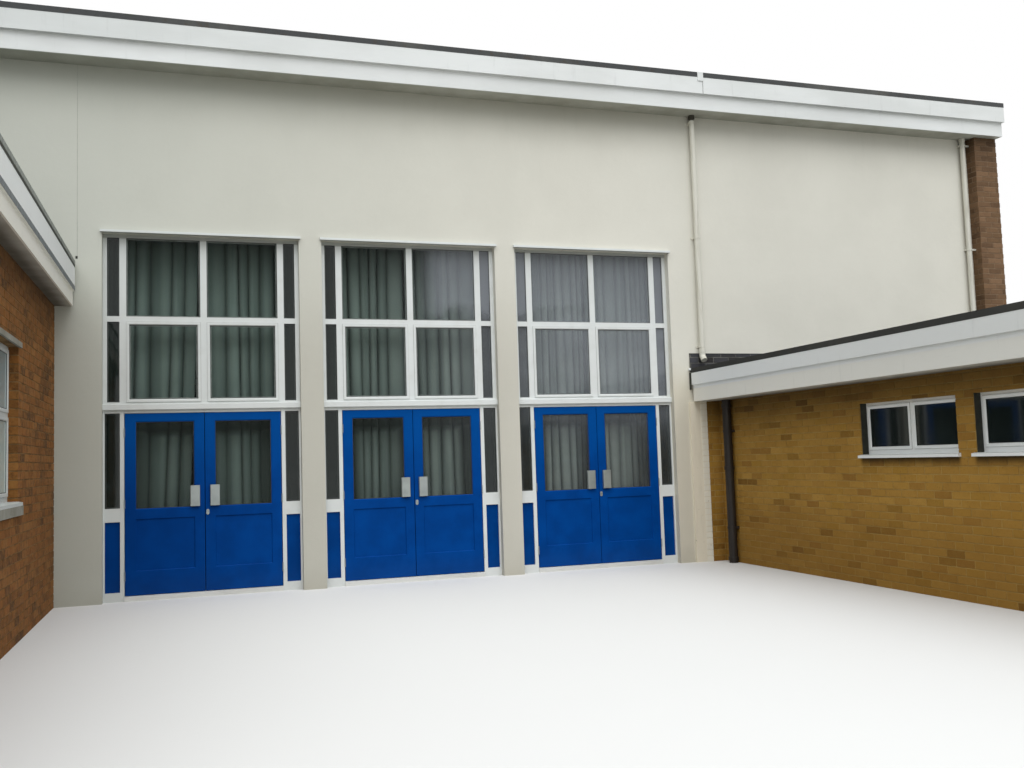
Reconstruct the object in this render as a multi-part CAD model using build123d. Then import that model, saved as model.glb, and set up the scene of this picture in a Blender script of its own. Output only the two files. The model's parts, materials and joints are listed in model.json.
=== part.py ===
from build123d import *
import os

# School building round three sides of a small court: a rendered assembly hall with three glazed
# bays of double doors, and a low brick wing on either side. Millimetres, +X along the hall front,
# +Y into the hall, +Z up from the ground.

# Assembly hall
HALL_LENGTH = 17696
HALL_DEPTH = 8400
FRONT_WALL = 275
END_WALL = 390
END_WALL_PROJECTION = 170
EAVES_HEIGHT = 5909
DECK_THICKNESS = 180
SOFFIT_BOARD = 12
FASCIA_BOARD = 18
EAVES_OVERHANG = 293
VERGE_UPPER_BOARD = 32
FASCIA_LOWER = 205
FASCIA_UPPER = 218
FASCIA_STEP = 47
ROOF_KERB_HEIGHT = 66
ROOF_KERB_WIDTH = 100
KERB_LIP = 2
FLOOR_TOP = 52

# Glazed bays in the hall front, and the windows that answer them at the back
BAY_COUNT = 3
BAY_PITCH = 2385
BAY_WIDTH = 2124
BAY_HEAD = 4040
FRAME_SETBACK = 94
FRAME_DEPTH = 70
JAMB = 45
SIDE_LIGHT = 127
DOOR_JAMB = 20
DOOR_SIDE_LIGHT = 155
DOOR_POST = 44
BAY_MULLION = 72
CENTRE_MULLION = 72
SIDE_SILL_TOP = 98
SIDE_RAIL_BOTTOM = 860
SIDE_RAIL_TOP = 1007
SILL_BAND_TOP = 2168
SILL_NOSE = 35
SILL_NOSE_BOTTOM = 2083
SILL_NOSE_TOP = 2140
SILL_FALL = 10
TRANSOM_BOTTOM = 3062
TRANSOM_TOP = 3123
HEAD_RAIL = 34
SASH_RAIL = 31
SASH_STAND_OFF = 10
SASH_DEPTH = 50
SASH_BEVEL = 8
PANE_THICKNESS = 24
PANEL_THICKNESS = 28
DRIP_HEIGHT = 36
DRIP_FALL = 10
DRIP_PROJECTION = 42
DRIP_OVERSAIL = 18

# Double doors
LEAF_WIDTH = 833
LEAF_BOTTOM = 60
LEAF_HEIGHT = 1980
LEAF_THICKNESS = 45
LEAF_CLEARANCE = 6
MEETING_GAP = 7
HINGE_STILE = 114
MEETING_STILE = 112
TOP_RAIL = 95
LEAF_GLASS_BOTTOM = 996
GLASS_BEVEL = 9
PANEL_BOTTOM = 324
PANEL_TOP = 876
PANEL_RECESS = 12
PANEL_BEVEL = 7
LEAF_PANE = 20
HINGE_COUNT = 3
HINGE_LENGTH = 100
HINGE_KNUCKLE = 12
HINGE_PLATE = 2.5
HINGE_PLATE_WIDTH = 30
HINGE_END_MARGIN = 160
HINGE_PLAY = 0.3
KNUCKLE_CLEARANCE = 1
PULL_FROM_EDGE = 50
PULL_WIDTH = 105
PULL_HEIGHT = 230
PULL_BOTTOM = 1000
PULL_STANDOFF = 36
PULL_SHEET = 3
PULL_BEND = 8
LOCK_FROM_EDGE = 24
LOCK_HEIGHT = 930
LOCK_WIDTH = 32
LOCK_LENGTH = 62
LOCK_THICKNESS = 5
LOCK_BARREL = 18
LOCK_BARREL_RISE = 12
LOCK_BARREL_OUT = 8
THRESHOLD_TOP = 54
THRESHOLD_NOSE = 22
THRESHOLD_FALL = 8

# Curtains behind the bays
CURTAIN_SETBACK = 60
CURTAIN_THICKNESS = 110
CURTAIN_BOTTOM = 75
CURTAIN_TRACK_BOTTOM = 4110
CURTAIN_TRACK_HEIGHT = 45
CURTAIN_OVERLAP = 90
CURTAIN_MEETING_GAP = 20

# Rainwater goods
DOWNPIPE_DIAMETER = 68
DOWNPIPE_STANDOFF = 25
SOIL_PIPE_DIAMETER = 110
SOIL_PIPE_FROM_HALL = 318
SOIL_PIPE_STANDOFF = 20
COURT_PIPE_FROM_BAYS = 3861
END_PIPE_FROM_END = 510
PIPE_COLLAR = 9
PIPE_COLLAR_HEIGHT = 46
PIPE_CLIP = 24
PIPE_CLIP_MARGIN = 90
SHOE_DIAMETER = 80
SHOE_DROP = 60
SHOE_REACH = 45
SHOE_BEND = 46
ROOF_CLEARANCE = 150
SOIL_COLLAR_HEIGHTS = (30, 1180, 1980)
SOIL_CLIP_HEIGHTS = (430, 1660)
SOIL_CLIP = 30

# Low wing on the right, yellow brick
RIGHT_WALL_FROM_BAYS = 4102
RIGHT_OUTER_INSET = 376
RIGHT_WALL = 260
RIGHT_SOFFIT_HEIGHT = 2078
RIGHT_OVERHANG = 385
RIGHT_FASCIA_LOWER = 218
RIGHT_FASCIA_UPPER = 170
RIGHT_KERB_HEIGHT = 50
RIGHT_DECK = 140
RIGHT_WINDOW_COUNT = 3
RIGHT_WINDOW_WIDTH = 1350
RIGHT_WINDOW_PIER = 215
RIGHT_WINDOW_FROM_HALL = 2874
RIGHT_WINDOW_SILL = 1300
RIGHT_WINDOW_HEAD = 1864
UPSTAND_HEIGHT = 196
UPSTAND_THICKNESS = 15
PILASTER_FROM_BAYS = 3663
PILASTER_WIDTH = 242
PILASTER_PROJECTION = 25

# Taller wing on the left, red brick
LEFT_WALL_FROM_BAYS = 3922
LEFT_OUTER_INSET = 180
LEFT_WALL = 260
LEFT_SOFFIT_HEIGHT = 3211
LEFT_OVERHANG = 188
LEFT_FASCIA_LOWER = 157
LEFT_FASCIA_UPPER = 300
LEFT_KERB_HEIGHT = 30
LEFT_DECK = 160
LEFT_WINDOW_COUNT = 2
LEFT_WINDOW_WIDTH = 1800
LEFT_WINDOW_PIER = 800
LEFT_WINDOW_FROM_HALL = 2207
LEFT_WINDOW_SILL = 1150
LEFT_WINDOW_HEAD = 2500
LEFT_TRANSOM_BOTTOM = 1895
LEFT_TRANSOM_TOP = 1935
LINTEL_HEIGHT = 58
LINTEL_PROJECTION = 25
LINTEL_FALL = 12
LINTEL_BEARING = 60
CONCRETE_SILL = 80
CONCRETE_SILL_PROJECTION = 40

# Shared by both wings
WING_LENGTH = 8000
WING_FASCIA_STEP = 20
WING_FASCIA_GAP = 36
WING_FRAME = 30
WING_MULLION = 36
WING_FRAME_FOOT = 46
WING_FRAME_DEPTH = 60
WING_FRAME_SETBACK = 76
WING_SILL_HEIGHT = 35
WING_SILL_FALL = 8
WING_SILL_PROJECTION = 40
WING_SILL_OVERSAIL = 28

# Places worked out from the sizes above. The hall front is centred on its bays.
REACH_FRONT = WING_LENGTH + RIGHT_OVERHANG + WING_FASCIA_STEP + KERB_LIP
REACH_BACK = HALL_DEPTH + EAVES_OVERHANG + FASCIA_STEP + KERB_LIP
FRONT_FACE = (REACH_FRONT - REACH_BACK) / 2
BACK_FACE = FRONT_FACE + HALL_DEPTH
HALF_LENGTH = HALL_LENGTH / 2
FRAME_FACE = FRONT_FACE + FRAME_SETBACK
INNER_FACE = FRONT_FACE + FRONT_WALL
WALL_TOP = EAVES_HEIGHT + FASCIA_LOWER + FASCIA_UPPER - DECK_THICKNESS
ROOF_TOP = WALL_TOP + DECK_THICKNESS
RENDER_END = HALF_LENGTH - END_WALL
BAY_CENTRES = [(n - (BAY_COUNT - 1) / 2) * BAY_PITCH for n in range(BAY_COUNT)]
BAYS_EDGE = BAY_CENTRES[-1] + BAY_WIDTH / 2
DOOR_HEAD = LEAF_BOTTOM + LEAF_HEIGHT + LEAF_CLEARANCE
DOOR_LIGHT_INNER = BAY_WIDTH / 2 - DOOR_JAMB - DOOR_SIDE_LIGHT
POST_INNER = DOOR_LIGHT_INNER - DOOR_POST
LEAF_EDGE = LEAF_WIDTH + MEETING_GAP / 2
HINGE_AXIS_X = (LEAF_EDGE + POST_INNER) / 2
HINGE_AXIS_Y = FRAME_FACE - HINGE_KNUCKLE / 2 - KNUCKLE_CLEARANCE
RIGHT_COURT_FACE = RIGHT_WALL_FROM_BAYS
RIGHT_OUTER_FACE = HALF_LENGTH - RIGHT_OUTER_INSET
LEFT_COURT_FACE = -LEFT_WALL_FROM_BAYS
LEFT_OUTER_FACE = -HALF_LENGTH + LEFT_OUTER_INSET
WING_END = FRONT_FACE - WING_LENGTH


def block(x0, x1, y0, y1, z0, z1):
    return Pos(x0, y0, z0) * Box(x1 - x0, y1 - y0, z1 - z0, align=(Align.MIN, Align.MIN, Align.MIN))


def boards_round(outer, inner, z0, z1):
    """Four straight boards round a roof; the long pair passes the ends of the short pair."""
    x0, x1, y0, y1 = outer
    a0, a1, b0, b1 = inner
    return [block(x0, x1, y0, b0, z0, z1), block(x0, x1, b1, y1, z0, z1),
            block(x0, a0, b0, b1, z0, z1), block(a1, x1, b0, b1, z0, z1)]


def drawn_along_x(profile, x0, x1):
    """A closed outline of (y, z) points, drawn out from x0 to x1."""
    plane = Plane(origin=(x0, 0, 0), x_dir=(0, 1, 0), z_dir=(1, 0, 0))
    return extrude(plane * make_face(Polyline(*profile, close=True)), x1 - x0)


def drawn_along_y(profile, y0, y1):
    """A closed outline of (x, z) points, drawn out from y0 to y1."""
    plane = Plane(origin=(0, y1, 0), x_dir=(1, 0, 0), z_dir=(0, -1, 0))
    return extrude(plane * make_face(Polyline(*profile, close=True)), y1 - y0)


def nose_profile(face, outward, reach, bottom, top, fall):
    """Outline of a weathered nose: flat below, its top falling away from the wall."""
    tip = face + outward * reach
    return [(face, bottom), (tip, bottom), (tip, top - fall), (face, top)]


def elevation(span, low, high, openings):
    """Outline of a wall seen square on, less its openings, each (start, end, bottom, top)."""
    face = Pos((span[0] + span[1]) / 2, (low + high) / 2) * Rectangle(span[1] - span[0], high - low)
    for start, end, bottom, top in openings:
        face -= Pos((start + end) / 2, (bottom + top) / 2) * Rectangle(end - start, top - bottom)
    return face


def round_bar(x, y, z0, z1, diameter):
    bar = Cylinder(diameter / 2, z1 - z0, align=(Align.CENTER, Align.CENTER, Align.MIN))
    return Pos(x, y, z0) * bar


# Hall shell

def floor_slabs():
    hall = block(-RENDER_END, RENDER_END, INNER_FACE, BACK_FACE - FRONT_WALL, 0, FLOOR_TOP)
    right = block(RIGHT_COURT_FACE + RIGHT_WALL, RIGHT_OUTER_FACE - RIGHT_WALL,
                  WING_END + RIGHT_WALL, FRONT_FACE, 0, FLOOR_TOP)
    left = block(LEFT_OUTER_FACE + LEFT_WALL, LEFT_COURT_FACE - LEFT_WALL,
                 WING_END + LEFT_WALL, FRONT_FACE, 0, FLOOR_TOP)
    return [hall, right, left]


def front_wall_left():
    return [block(-RENDER_END, -BAYS_EDGE, FRONT_FACE, INNER_FACE, 0, WALL_TOP)]


def front_wall_right():
    return [block(BAYS_EDGE, RENDER_END, FRONT_FACE, INNER_FACE, 0, WALL_TOP)]


def front_wall_piers():
    piers = []
    for centre in BAY_CENTRES[:-1]:
        x0 = centre + BAY_WIDTH / 2
        piers.append(block(x0, x0 + BAY_PITCH - BAY_WIDTH, FRONT_FACE, INNER_FACE, 0, BAY_HEAD))
    return piers


def front_wall_over_bays():
    return [block(-BAYS_EDGE, BAYS_EDGE, FRONT_FACE, INNER_FACE, BAY_HEAD, WALL_TOP)]


def hall_back_wall():
    windows = [(centre - BAY_WIDTH / 2, centre + BAY_WIDTH / 2, DOOR_HEAD, BAY_HEAD) for centre in BAY_CENTRES]
    face = elevation((-RENDER_END, RENDER_END), 0, WALL_TOP, windows)
    plane = Plane(origin=(0, BACK_FACE, 0), x_dir=(1, 0, 0), z_dir=(0, -1, 0))
    return [extrude(plane * face, FRONT_WALL)]


def hall_end_walls():
    walls = []
    for side in (-1, 1):
        x0, x1 = sorted((side * RENDER_END, side * HALF_LENGTH))
        wall = block(x0, x1, FRONT_FACE, BACK_FACE, 0, WALL_TOP)
        wall += block(x0, x1, FRONT_FACE - END_WALL_PROJECTION, FRONT_FACE, 0, EAVES_HEIGHT)
        wall += block(x0, x1, BACK_FACE, BACK_FACE + END_WALL_PROJECTION, 0, EAVES_HEIGHT)
        walls.append(wall)
    return walls


# Hall roof: the boards meet the deck at its edge and close the soffit

DECK_FRONT = FRONT_FACE - EAVES_OVERHANG + FASCIA_BOARD
DECK_BACK = BACK_FACE + EAVES_OVERHANG - FASCIA_BOARD
DECK_OUTLINE = (-HALF_LENGTH, HALF_LENGTH, DECK_FRONT, DECK_BACK)


def grown(outline, side, end):
    x0, x1, y0, y1 = outline
    return (x0 - side, x1 + side, y0 - end, y1 + end)


def hall_roof_deck():
    return [block(*DECK_OUTLINE, WALL_TOP, ROOF_TOP)]


def hall_soffits():
    boards = []
    for y0, y1 in ((DECK_FRONT, FRONT_FACE), (BACK_FACE, DECK_BACK)):
        boards.append(block(-HALF_LENGTH, HALF_LENGTH, y0, y1, EAVES_HEIGHT, EAVES_HEIGHT + SOFFIT_BOARD))
    return boards


def hall_fascia_lower():
    outer = grown(DECK_OUTLINE, FASCIA_BOARD, FASCIA_BOARD)
    return boards_round(outer, DECK_OUTLINE, EAVES_HEIGHT, EAVES_HEIGHT + FASCIA_LOWER)


def hall_fascia_upper():
    outer = grown(DECK_OUTLINE, VERGE_UPPER_BOARD, FASCIA_BOARD + FASCIA_STEP)
    return boards_round(outer, DECK_OUTLINE, EAVES_HEIGHT + FASCIA_LOWER, ROOF_TOP)


def hall_roof_kerb():
    outer = grown(DECK_OUTLINE, VERGE_UPPER_BOARD + KERB_LIP, FASCIA_BOARD + FASCIA_STEP + KERB_LIP)
    inner = grown(outer, -ROOF_KERB_WIDTH, -ROOF_KERB_WIDTH)
    return boards_round(outer, inner, ROOF_TOP, ROOF_TOP + ROOF_KERB_HEIGHT)


# Bay frames. Every bay has jambs, posts beside the doors and mullions above; rails lie between.

LIGHT_INNER = BAY_WIDTH / 2 - JAMB - SIDE_LIGHT
MULLION_INNER = LIGHT_INNER - BAY_MULLION
UPPER_TIERS = ((SILL_BAND_TOP, TRANSOM_BOTTOM), (TRANSOM_TOP, BAY_HEAD - HEAD_RAIL))


def bay_faces():
    front = [(centre, FRAME_FACE, FRAME_FACE + FRAME_DEPTH, True) for centre in BAY_CENTRES]
    back_frame = BACK_FACE - FRAME_SETBACK
    back = [(centre, back_frame - FRAME_DEPTH, back_frame, False) for centre in BAY_CENTRES]
    return front + back


def both_sides(centre, inner, outer, y0, y1, z0, z1):
    return [block(centre + inner, centre + outer, y0, y1, z0, z1),
            block(centre - outer, centre - inner, y0, y1, z0, z1)]


def bay_uprights():
    pieces = []
    half = BAY_WIDTH / 2
    for centre, y0, y1, has_doors in bay_faces():
        pieces += both_sides(centre, half - JAMB, half, y0, y1, SILL_BAND_TOP, BAY_HEAD)
        if has_doors:
            pieces += both_sides(centre, half - DOOR_JAMB, half, y0, y1, 0, DOOR_HEAD)
            pieces += both_sides(centre, POST_INNER, DOOR_LIGHT_INNER, y0, y1, 0, DOOR_HEAD)
        for z0, z1 in UPPER_TIERS:
            pieces += both_sides(centre, MULLION_INNER, LIGHT_INNER, y0, y1, z0, z1)
            pieces.append(block(centre - CENTRE_MULLION / 2, centre + CENTRE_MULLION / 2, y0, y1, z0, z1))
    return pieces


def bay_rails():
    pieces = []
    half = BAY_WIDTH / 2
    inside = half - JAMB
    for centre, y0, y1, has_doors in bay_faces():
        pieces.append(block(centre - half, centre + half, y0, y1, DOOR_HEAD, SILL_BAND_TOP))
        pieces.append(block(centre - inside, centre + inside, y0, y1, TRANSOM_BOTTOM, TRANSOM_TOP))
        pieces.append(block(centre - inside, centre + inside, y0, y1, BAY_HEAD - HEAD_RAIL, BAY_HEAD))
        if has_doors:
            beside = (centre, DOOR_LIGHT_INNER, half - DOOR_JAMB, y0, y1)
            pieces += both_sides(*beside, 0, SIDE_SILL_TOP)
            pieces += both_sides(*beside, SIDE_RAIL_BOTTOM, SIDE_RAIL_TOP)
    return pieces


def sash_outline():
    return CENTRE_MULLION / 2, MULLION_INNER, SILL_BAND_TOP, TRANSOM_BOTTOM


def sash(width, height):
    """A sash seen from its front, its near bottom left corner at the origin, bevelled round the glass."""
    frame = block(0, width, 0, SASH_DEPTH, 0, height)
    frame -= block(SASH_RAIL, width - SASH_RAIL, 0, SASH_DEPTH, SASH_RAIL, height - SASH_RAIL)
    front = frame.faces().sort_by(Axis.Y)[0]
    return chamfer([edge for wire in front.inner_wires() for edge in wire.edges()], SASH_BEVEL)


def bay_sashes():
    pieces = []
    inner, outer, z0, z1 = sash_outline()
    for centre, y0, y1, has_doors in bay_faces():
        for side in (-1, 1):
            x0, x1 = sorted((centre + side * inner, centre + side * outer))
            if has_doors:
                place = Pos(x0, y0 - SASH_STAND_OFF, z0)
            else:
                place = Pos(x1, y1 + SASH_STAND_OFF, z0) * Rot(0, 0, 180)
            pieces.append(place * sash(x1 - x0, z1 - z0))
    return pieces


def bay_panes():
    panes = []
    inside = BAY_WIDTH / 2 - JAMB
    inner, outer, z0, z1 = sash_outline()
    for centre, y0, y1, has_doors in bay_faces():
        middle = (y0 + y1) / 2
        g0, g1 = middle - PANE_THICKNESS / 2, middle + PANE_THICKNESS / 2
        for low, high in UPPER_TIERS:
            panes += both_sides(centre, LIGHT_INNER, inside, g0, g1, low, high)
        low, high = UPPER_TIERS[1]
        panes += both_sides(centre, inner, outer, g0, g1, low, high)
        s0 = y0 - SASH_STAND_OFF if has_doors else y1 + SASH_STAND_OFF - SASH_DEPTH
        s_mid = s0 + SASH_DEPTH / 2
        panes += both_sides(centre, inner + SASH_RAIL, outer - SASH_RAIL, s_mid - PANE_THICKNESS / 2,
                            s_mid + PANE_THICKNESS / 2, z0 + SASH_RAIL, z1 - SASH_RAIL)
        if has_doors:
            panes += both_sides(centre, DOOR_LIGHT_INNER, BAY_WIDTH / 2 - DOOR_JAMB, g0, g1, SIDE_RAIL_TOP, DOOR_HEAD)
    return panes


def bay_side_panels():
    panels = []
    y0 = FRAME_FACE + (FRAME_DEPTH - PANEL_THICKNESS) / 2
    for centre in BAY_CENTRES:
        panels += both_sides(centre, DOOR_LIGHT_INNER, BAY_WIDTH / 2 - DOOR_JAMB, y0, y0 + PANEL_THICKNESS,
                             SIDE_SILL_TOP, SIDE_RAIL_BOTTOM)
    return panels


def bay_sills():
    sills = []
    half = BAY_WIDTH / 2
    for centre, y0, y1, has_doors in bay_faces():
        face, outward = (y0, -1) if has_doors else (y1, 1)
        profile = nose_profile(face, outward, SILL_NOSE, SILL_NOSE_BOTTOM, SILL_NOSE_TOP + SILL_FALL, SILL_FALL)
        sills.append(drawn_along_x(profile, centre - half, centre + half))
    return sills


def bay_head_drips():
    drips = []
    half = BAY_WIDTH / 2 + DRIP_OVERSAIL
    for centre in BAY_CENTRES:
        for face, outward in ((FRONT_FACE, -1), (BACK_FACE, 1)):
            profile = nose_profile(face, outward, DRIP_PROJECTION, BAY_HEAD, BAY_HEAD + DRIP_HEIGHT, DRIP_FALL)
            drips.append(drawn_along_x(profile, centre - half, centre + half))
    return drips


def door_thresholds():
    nose = FRAME_FACE - THRESHOLD_NOSE
    profile = [(INNER_FACE, 0), (nose, 0), (nose, THRESHOLD_TOP - THRESHOLD_FALL),
               (FRAME_FACE, THRESHOLD_TOP), (INNER_FACE, THRESHOLD_TOP)]
    return [drawn_along_x(profile, centre - POST_INNER, centre + POST_INNER) for centre in BAY_CENTRES]


# Doors. side is -1 for the leaf hung on the left of a pair and 1 for the right.

def leaf_span(centre, side, from_hinge, to_hinge):
    hinge_edge = centre + side * LEAF_EDGE
    return sorted((hinge_edge - side * from_hinge, hinge_edge - side * to_hinge))


def bevelled_round(leaf, low, high, amount):
    """The leaf with the edges of its front hollow that lies between two heights bevelled."""
    front = leaf.faces().sort_by(Axis.Y)[0]
    edges = [edge for wire in front.inner_wires() for edge in wire.edges() if low <= edge.center().Z <= high]
    return chamfer(edges, amount)


def door_leaf(centre, side):
    top = LEAF_BOTTOM + LEAF_HEIGHT
    y0, y1 = FRAME_FACE, FRAME_FACE + LEAF_THICKNESS
    x0, x1 = leaf_span(centre, side, 0, LEAF_WIDTH)
    g0, g1 = leaf_span(centre, side, HINGE_STILE, LEAF_WIDTH - MEETING_STILE)
    leaf = block(x0, x1, y0, y1, LEAF_BOTTOM, top)
    leaf -= block(g0, g1, y0, y1, LEAF_GLASS_BOTTOM, top - TOP_RAIL)
    leaf -= block(g0, g1, y0, y0 + PANEL_RECESS, PANEL_BOTTOM, PANEL_TOP)
    leaf -= block(g0, g1, y1 - PANEL_RECESS, y1, PANEL_BOTTOM, PANEL_TOP)
    leaf = bevelled_round(leaf, LEAF_GLASS_BOTTOM, top, GLASS_BEVEL)
    return [bevelled_round(leaf, LEAF_BOTTOM, PANEL_TOP, PANEL_BEVEL)]


def door_glass(centre, side):
    g0, g1 = leaf_span(centre, side, HINGE_STILE, LEAF_WIDTH - MEETING_STILE)
    y0 = FRAME_FACE + (LEAF_THICKNESS - LEAF_PANE) / 2
    return [block(g0, g1, y0, y0 + LEAF_PANE, LEAF_GLASS_BOTTOM, LEAF_BOTTOM + LEAF_HEIGHT - TOP_RAIL)]


def hinge_heights():
    low = LEAF_BOTTOM + HINGE_END_MARGIN
    high = LEAF_BOTTOM + LEAF_HEIGHT - HINGE_END_MARGIN - HINGE_LENGTH
    return [low + (high - low) * n / (HINGE_COUNT - 1) for n in range(HINGE_COUNT)]


def knuckle(x, z0, z1):
    return round_bar(x, HINGE_AXIS_Y, z0, z1, HINGE_KNUCKLE)


def leaf_hinges(centre, side):
    axis = centre + side * HINGE_AXIS_X
    x0, x1 = leaf_span(centre, side, -HINGE_PLATE, 0)
    pieces = []
    for z in hinge_heights():
        z0, z1 = z + HINGE_LENGTH / 4 + HINGE_PLAY, z + HINGE_LENGTH * 3 / 4 - HINGE_PLAY
        plate = block(x0, x1, HINGE_AXIS_Y, FRAME_FACE + HINGE_PLATE_WIDTH, z0, z1)
        pieces.append(plate + knuckle(axis, z0, z1))
    return pieces


def frame_hinges():
    pieces = []
    quarter = HINGE_LENGTH / 4
    for centre in BAY_CENTRES:
        for side in (-1, 1):
            axis = centre + side * HINGE_AXIS_X
            x0, x1 = sorted((centre + side * (POST_INNER - HINGE_PLATE), centre + side * POST_INNER))
            for z in hinge_heights():
                plate = block(x0, x1, FRAME_FACE, FRAME_FACE + HINGE_PLATE_WIDTH, z, z + HINGE_LENGTH)
                for low in (z, z + 3 * quarter):
                    plate += block(x0, x1, HINGE_AXIS_Y, FRAME_FACE, low, low + quarter)
                    plate += knuckle(axis, low, low + quarter)
                pieces.append(plate)
    return pieces


def folded_pull(centre, side):
    """A pull folded from one sheet: back plate, a rounded return by the meeting edge, and the front."""
    far = LEAF_WIDTH - PULL_FROM_EDGE
    x0, x1 = leaf_span(centre, side, far - PULL_WIDTH, far)
    front = FRAME_FACE - PULL_STANDOFF
    top = PULL_BOTTOM + PULL_HEIGHT
    pull = block(x0, x1, front, FRAME_FACE, PULL_BOTTOM, top)
    bend = [edge for edge in pull.edges().filter_by(Axis.Z) if edge.center().Y < front + PULL_SHEET]
    pull = fillet(bend, PULL_BEND)
    h0, h1 = leaf_span(centre, side, far - 2 * PULL_WIDTH, far - PULL_SHEET)
    hollow = block(h0, h1, front + PULL_SHEET, FRAME_FACE - PULL_SHEET, PULL_BOTTOM, top)
    inner = hollow.edges().filter_by(Axis.Z).sort_by(Axis.Y)[:2]
    return pull - fillet(inner, PULL_BEND - PULL_SHEET)


def lock(centre, side):
    """A rounded escutcheon with the barrel of the lock standing out of its upper half."""
    x, _ = leaf_span(centre, side, LEAF_WIDTH - LOCK_FROM_EDGE, LEAF_WIDTH - LOCK_FROM_EDGE)
    face = Plane(origin=(x, FRAME_FACE, LOCK_HEIGHT), x_dir=(0, 0, 1), z_dir=(0, -1, 0))
    plate = extrude(face * SlotOverall(LOCK_LENGTH, LOCK_WIDTH), LOCK_THICKNESS)
    barrel = extrude(face * Pos(LOCK_BARREL_RISE, 0) * Circle(LOCK_BARREL / 2), LOCK_THICKNESS + LOCK_BARREL_OUT)
    return plate + barrel


def door_ironmongery(centre, side):
    pieces = [folded_pull(centre, side)] + leaf_hinges(centre, side)
    if side == 1:
        pieces.append(lock(centre, side))
    return pieces


# Curtains on a track inside each bay, two to a bay

def curtain_tracks():
    half = BAY_WIDTH / 2 + CURTAIN_OVERLAP
    depth = CURTAIN_SETBACK + CURTAIN_THICKNESS
    return [block(centre - half, centre + half, INNER_FACE, INNER_FACE + depth,
                  CURTAIN_TRACK_BOTTOM, CURTAIN_TRACK_BOTTOM + CURTAIN_TRACK_HEIGHT)
            for centre in BAY_CENTRES]


def curtains():
    pieces = []
    y0 = INNER_FACE + CURTAIN_SETBACK
    for centre in BAY_CENTRES:
        pieces += both_sides(centre, CURTAIN_MEETING_GAP / 2, BAY_WIDTH / 2 + CURTAIN_OVERLAP,
                             y0, y0 + CURTAIN_THICKNESS, CURTAIN_BOTTOM, CURTAIN_TRACK_BOTTOM)
    return pieces


# Wings. Where a wing meets the ends of the hall, it is cut round the piers of the end walls.

def clear_of_end_piers(shape):
    for side in (-1, 1):
        x0, x1 = sorted((side * RENDER_END, side * HALF_LENGTH))
        shape -= block(x0, x1, FRONT_FACE - END_WALL_PROJECTION, FRONT_FACE, 0, EAVES_HEIGHT)
    return shape


def wing_wall(x0, x1, spans, low, high, top):
    """A long wall of a wing, drawn in elevation with its windows."""
    openings = [(-y1, -y0, low, high) for y0, y1 in spans]
    face = elevation((-FRONT_FACE, -WING_END), 0, top, openings)
    plane = Plane(origin=(x0, 0, 0), x_dir=(0, -1, 0), z_dir=(-1, 0, 0))
    return extrude(plane * face, x0 - x1)


def wing_walls(court, outer, thickness, top, spans, low, high):
    inward = 1 if outer > court else -1
    c0, c1 = sorted((court, court + inward * thickness))
    o0, o1 = sorted((outer, outer - inward * thickness))
    e0, e1 = sorted((court + inward * thickness, outer))
    outer_walls = wing_wall(o0, o1, spans, low, high, top)
    outer_walls += block(e0, e1, WING_END, WING_END + thickness, 0, top)
    return wing_wall(c0, c1, spans, low, high, top), clear_of_end_piers(outer_walls)


def window_spans(count, width, pier, from_hall):
    spans = []
    for n in range(count):
        far = FRONT_FACE - from_hall - n * (width + pier)
        spans.append((far - width, far))
    return spans


RIGHT_WALL_TOP = RIGHT_SOFFIT_HEIGHT + RIGHT_FASCIA_LOWER + RIGHT_FASCIA_UPPER - RIGHT_DECK
LEFT_WALL_TOP = LEFT_SOFFIT_HEIGHT + LEFT_FASCIA_LOWER + LEFT_FASCIA_UPPER - LEFT_DECK
RIGHT_SPANS = window_spans(RIGHT_WINDOW_COUNT, RIGHT_WINDOW_WIDTH, RIGHT_WINDOW_PIER, RIGHT_WINDOW_FROM_HALL)
LEFT_SPANS = window_spans(LEFT_WINDOW_COUNT, LEFT_WINDOW_WIDTH, LEFT_WINDOW_PIER, LEFT_WINDOW_FROM_HALL)
PILASTER_END = PILASTER_FROM_BAYS + PILASTER_WIDTH
PILASTER_FACE = FRONT_FACE - PILASTER_PROJECTION


def right_wing_walls():
    court, outer = wing_walls(RIGHT_COURT_FACE, RIGHT_OUTER_FACE, RIGHT_WALL, RIGHT_WALL_TOP, RIGHT_SPANS,
                              RIGHT_WINDOW_SILL, RIGHT_WINDOW_HEAD)
    nib = block(PILASTER_END, RIGHT_COURT_FACE, PILASTER_FACE, FRONT_FACE, 0, RIGHT_SOFFIT_HEIGHT)
    return court + nib, outer


def left_wing_walls():
    return wing_walls(LEFT_COURT_FACE, LEFT_OUTER_FACE, LEFT_WALL, LEFT_WALL_TOP, LEFT_SPANS,
                      LEFT_WINDOW_SILL, LEFT_WINDOW_HEAD)


def wing_window(x_face, outward, y0, y1, z0, z1, transoms):
    """White two-light window set back in a wall whose face is at x_face; outward is +1 or -1."""
    front = x_face - outward * WING_FRAME_SETBACK
    f0, f1 = sorted((front, front - outward * WING_FRAME_DEPTH))
    frame = block(f0, f1, y0, y1, z0, z1)
    middle = (y0 + y1) / 2
    columns = ((y0 + WING_FRAME, middle - WING_MULLION / 2), (middle + WING_MULLION / 2, y1 - WING_FRAME))
    edges = [z0 + WING_FRAME_FOOT, *transoms, z1 - WING_FRAME]
    sash_front = front + outward * SASH_STAND_OFF
    pane = sash_front - outward * SASH_DEPTH / 2
    panes = []
    for a, b in columns:
        for low, high in zip(edges[0::2], edges[1::2]):
            frame -= block(f0, f1, a, b, low, high)
            corner = Pos(sash_front, a if outward == 1 else b, low)
            frame += corner * Rot(0, 0, outward * 90) * sash(b - a, high - low)
            panes.append(block(pane - PANE_THICKNESS / 2, pane + PANE_THICKNESS / 2, a + SASH_RAIL, b - SASH_RAIL,
                               low + SASH_RAIL, high - SASH_RAIL))
    return frame, panes


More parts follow.
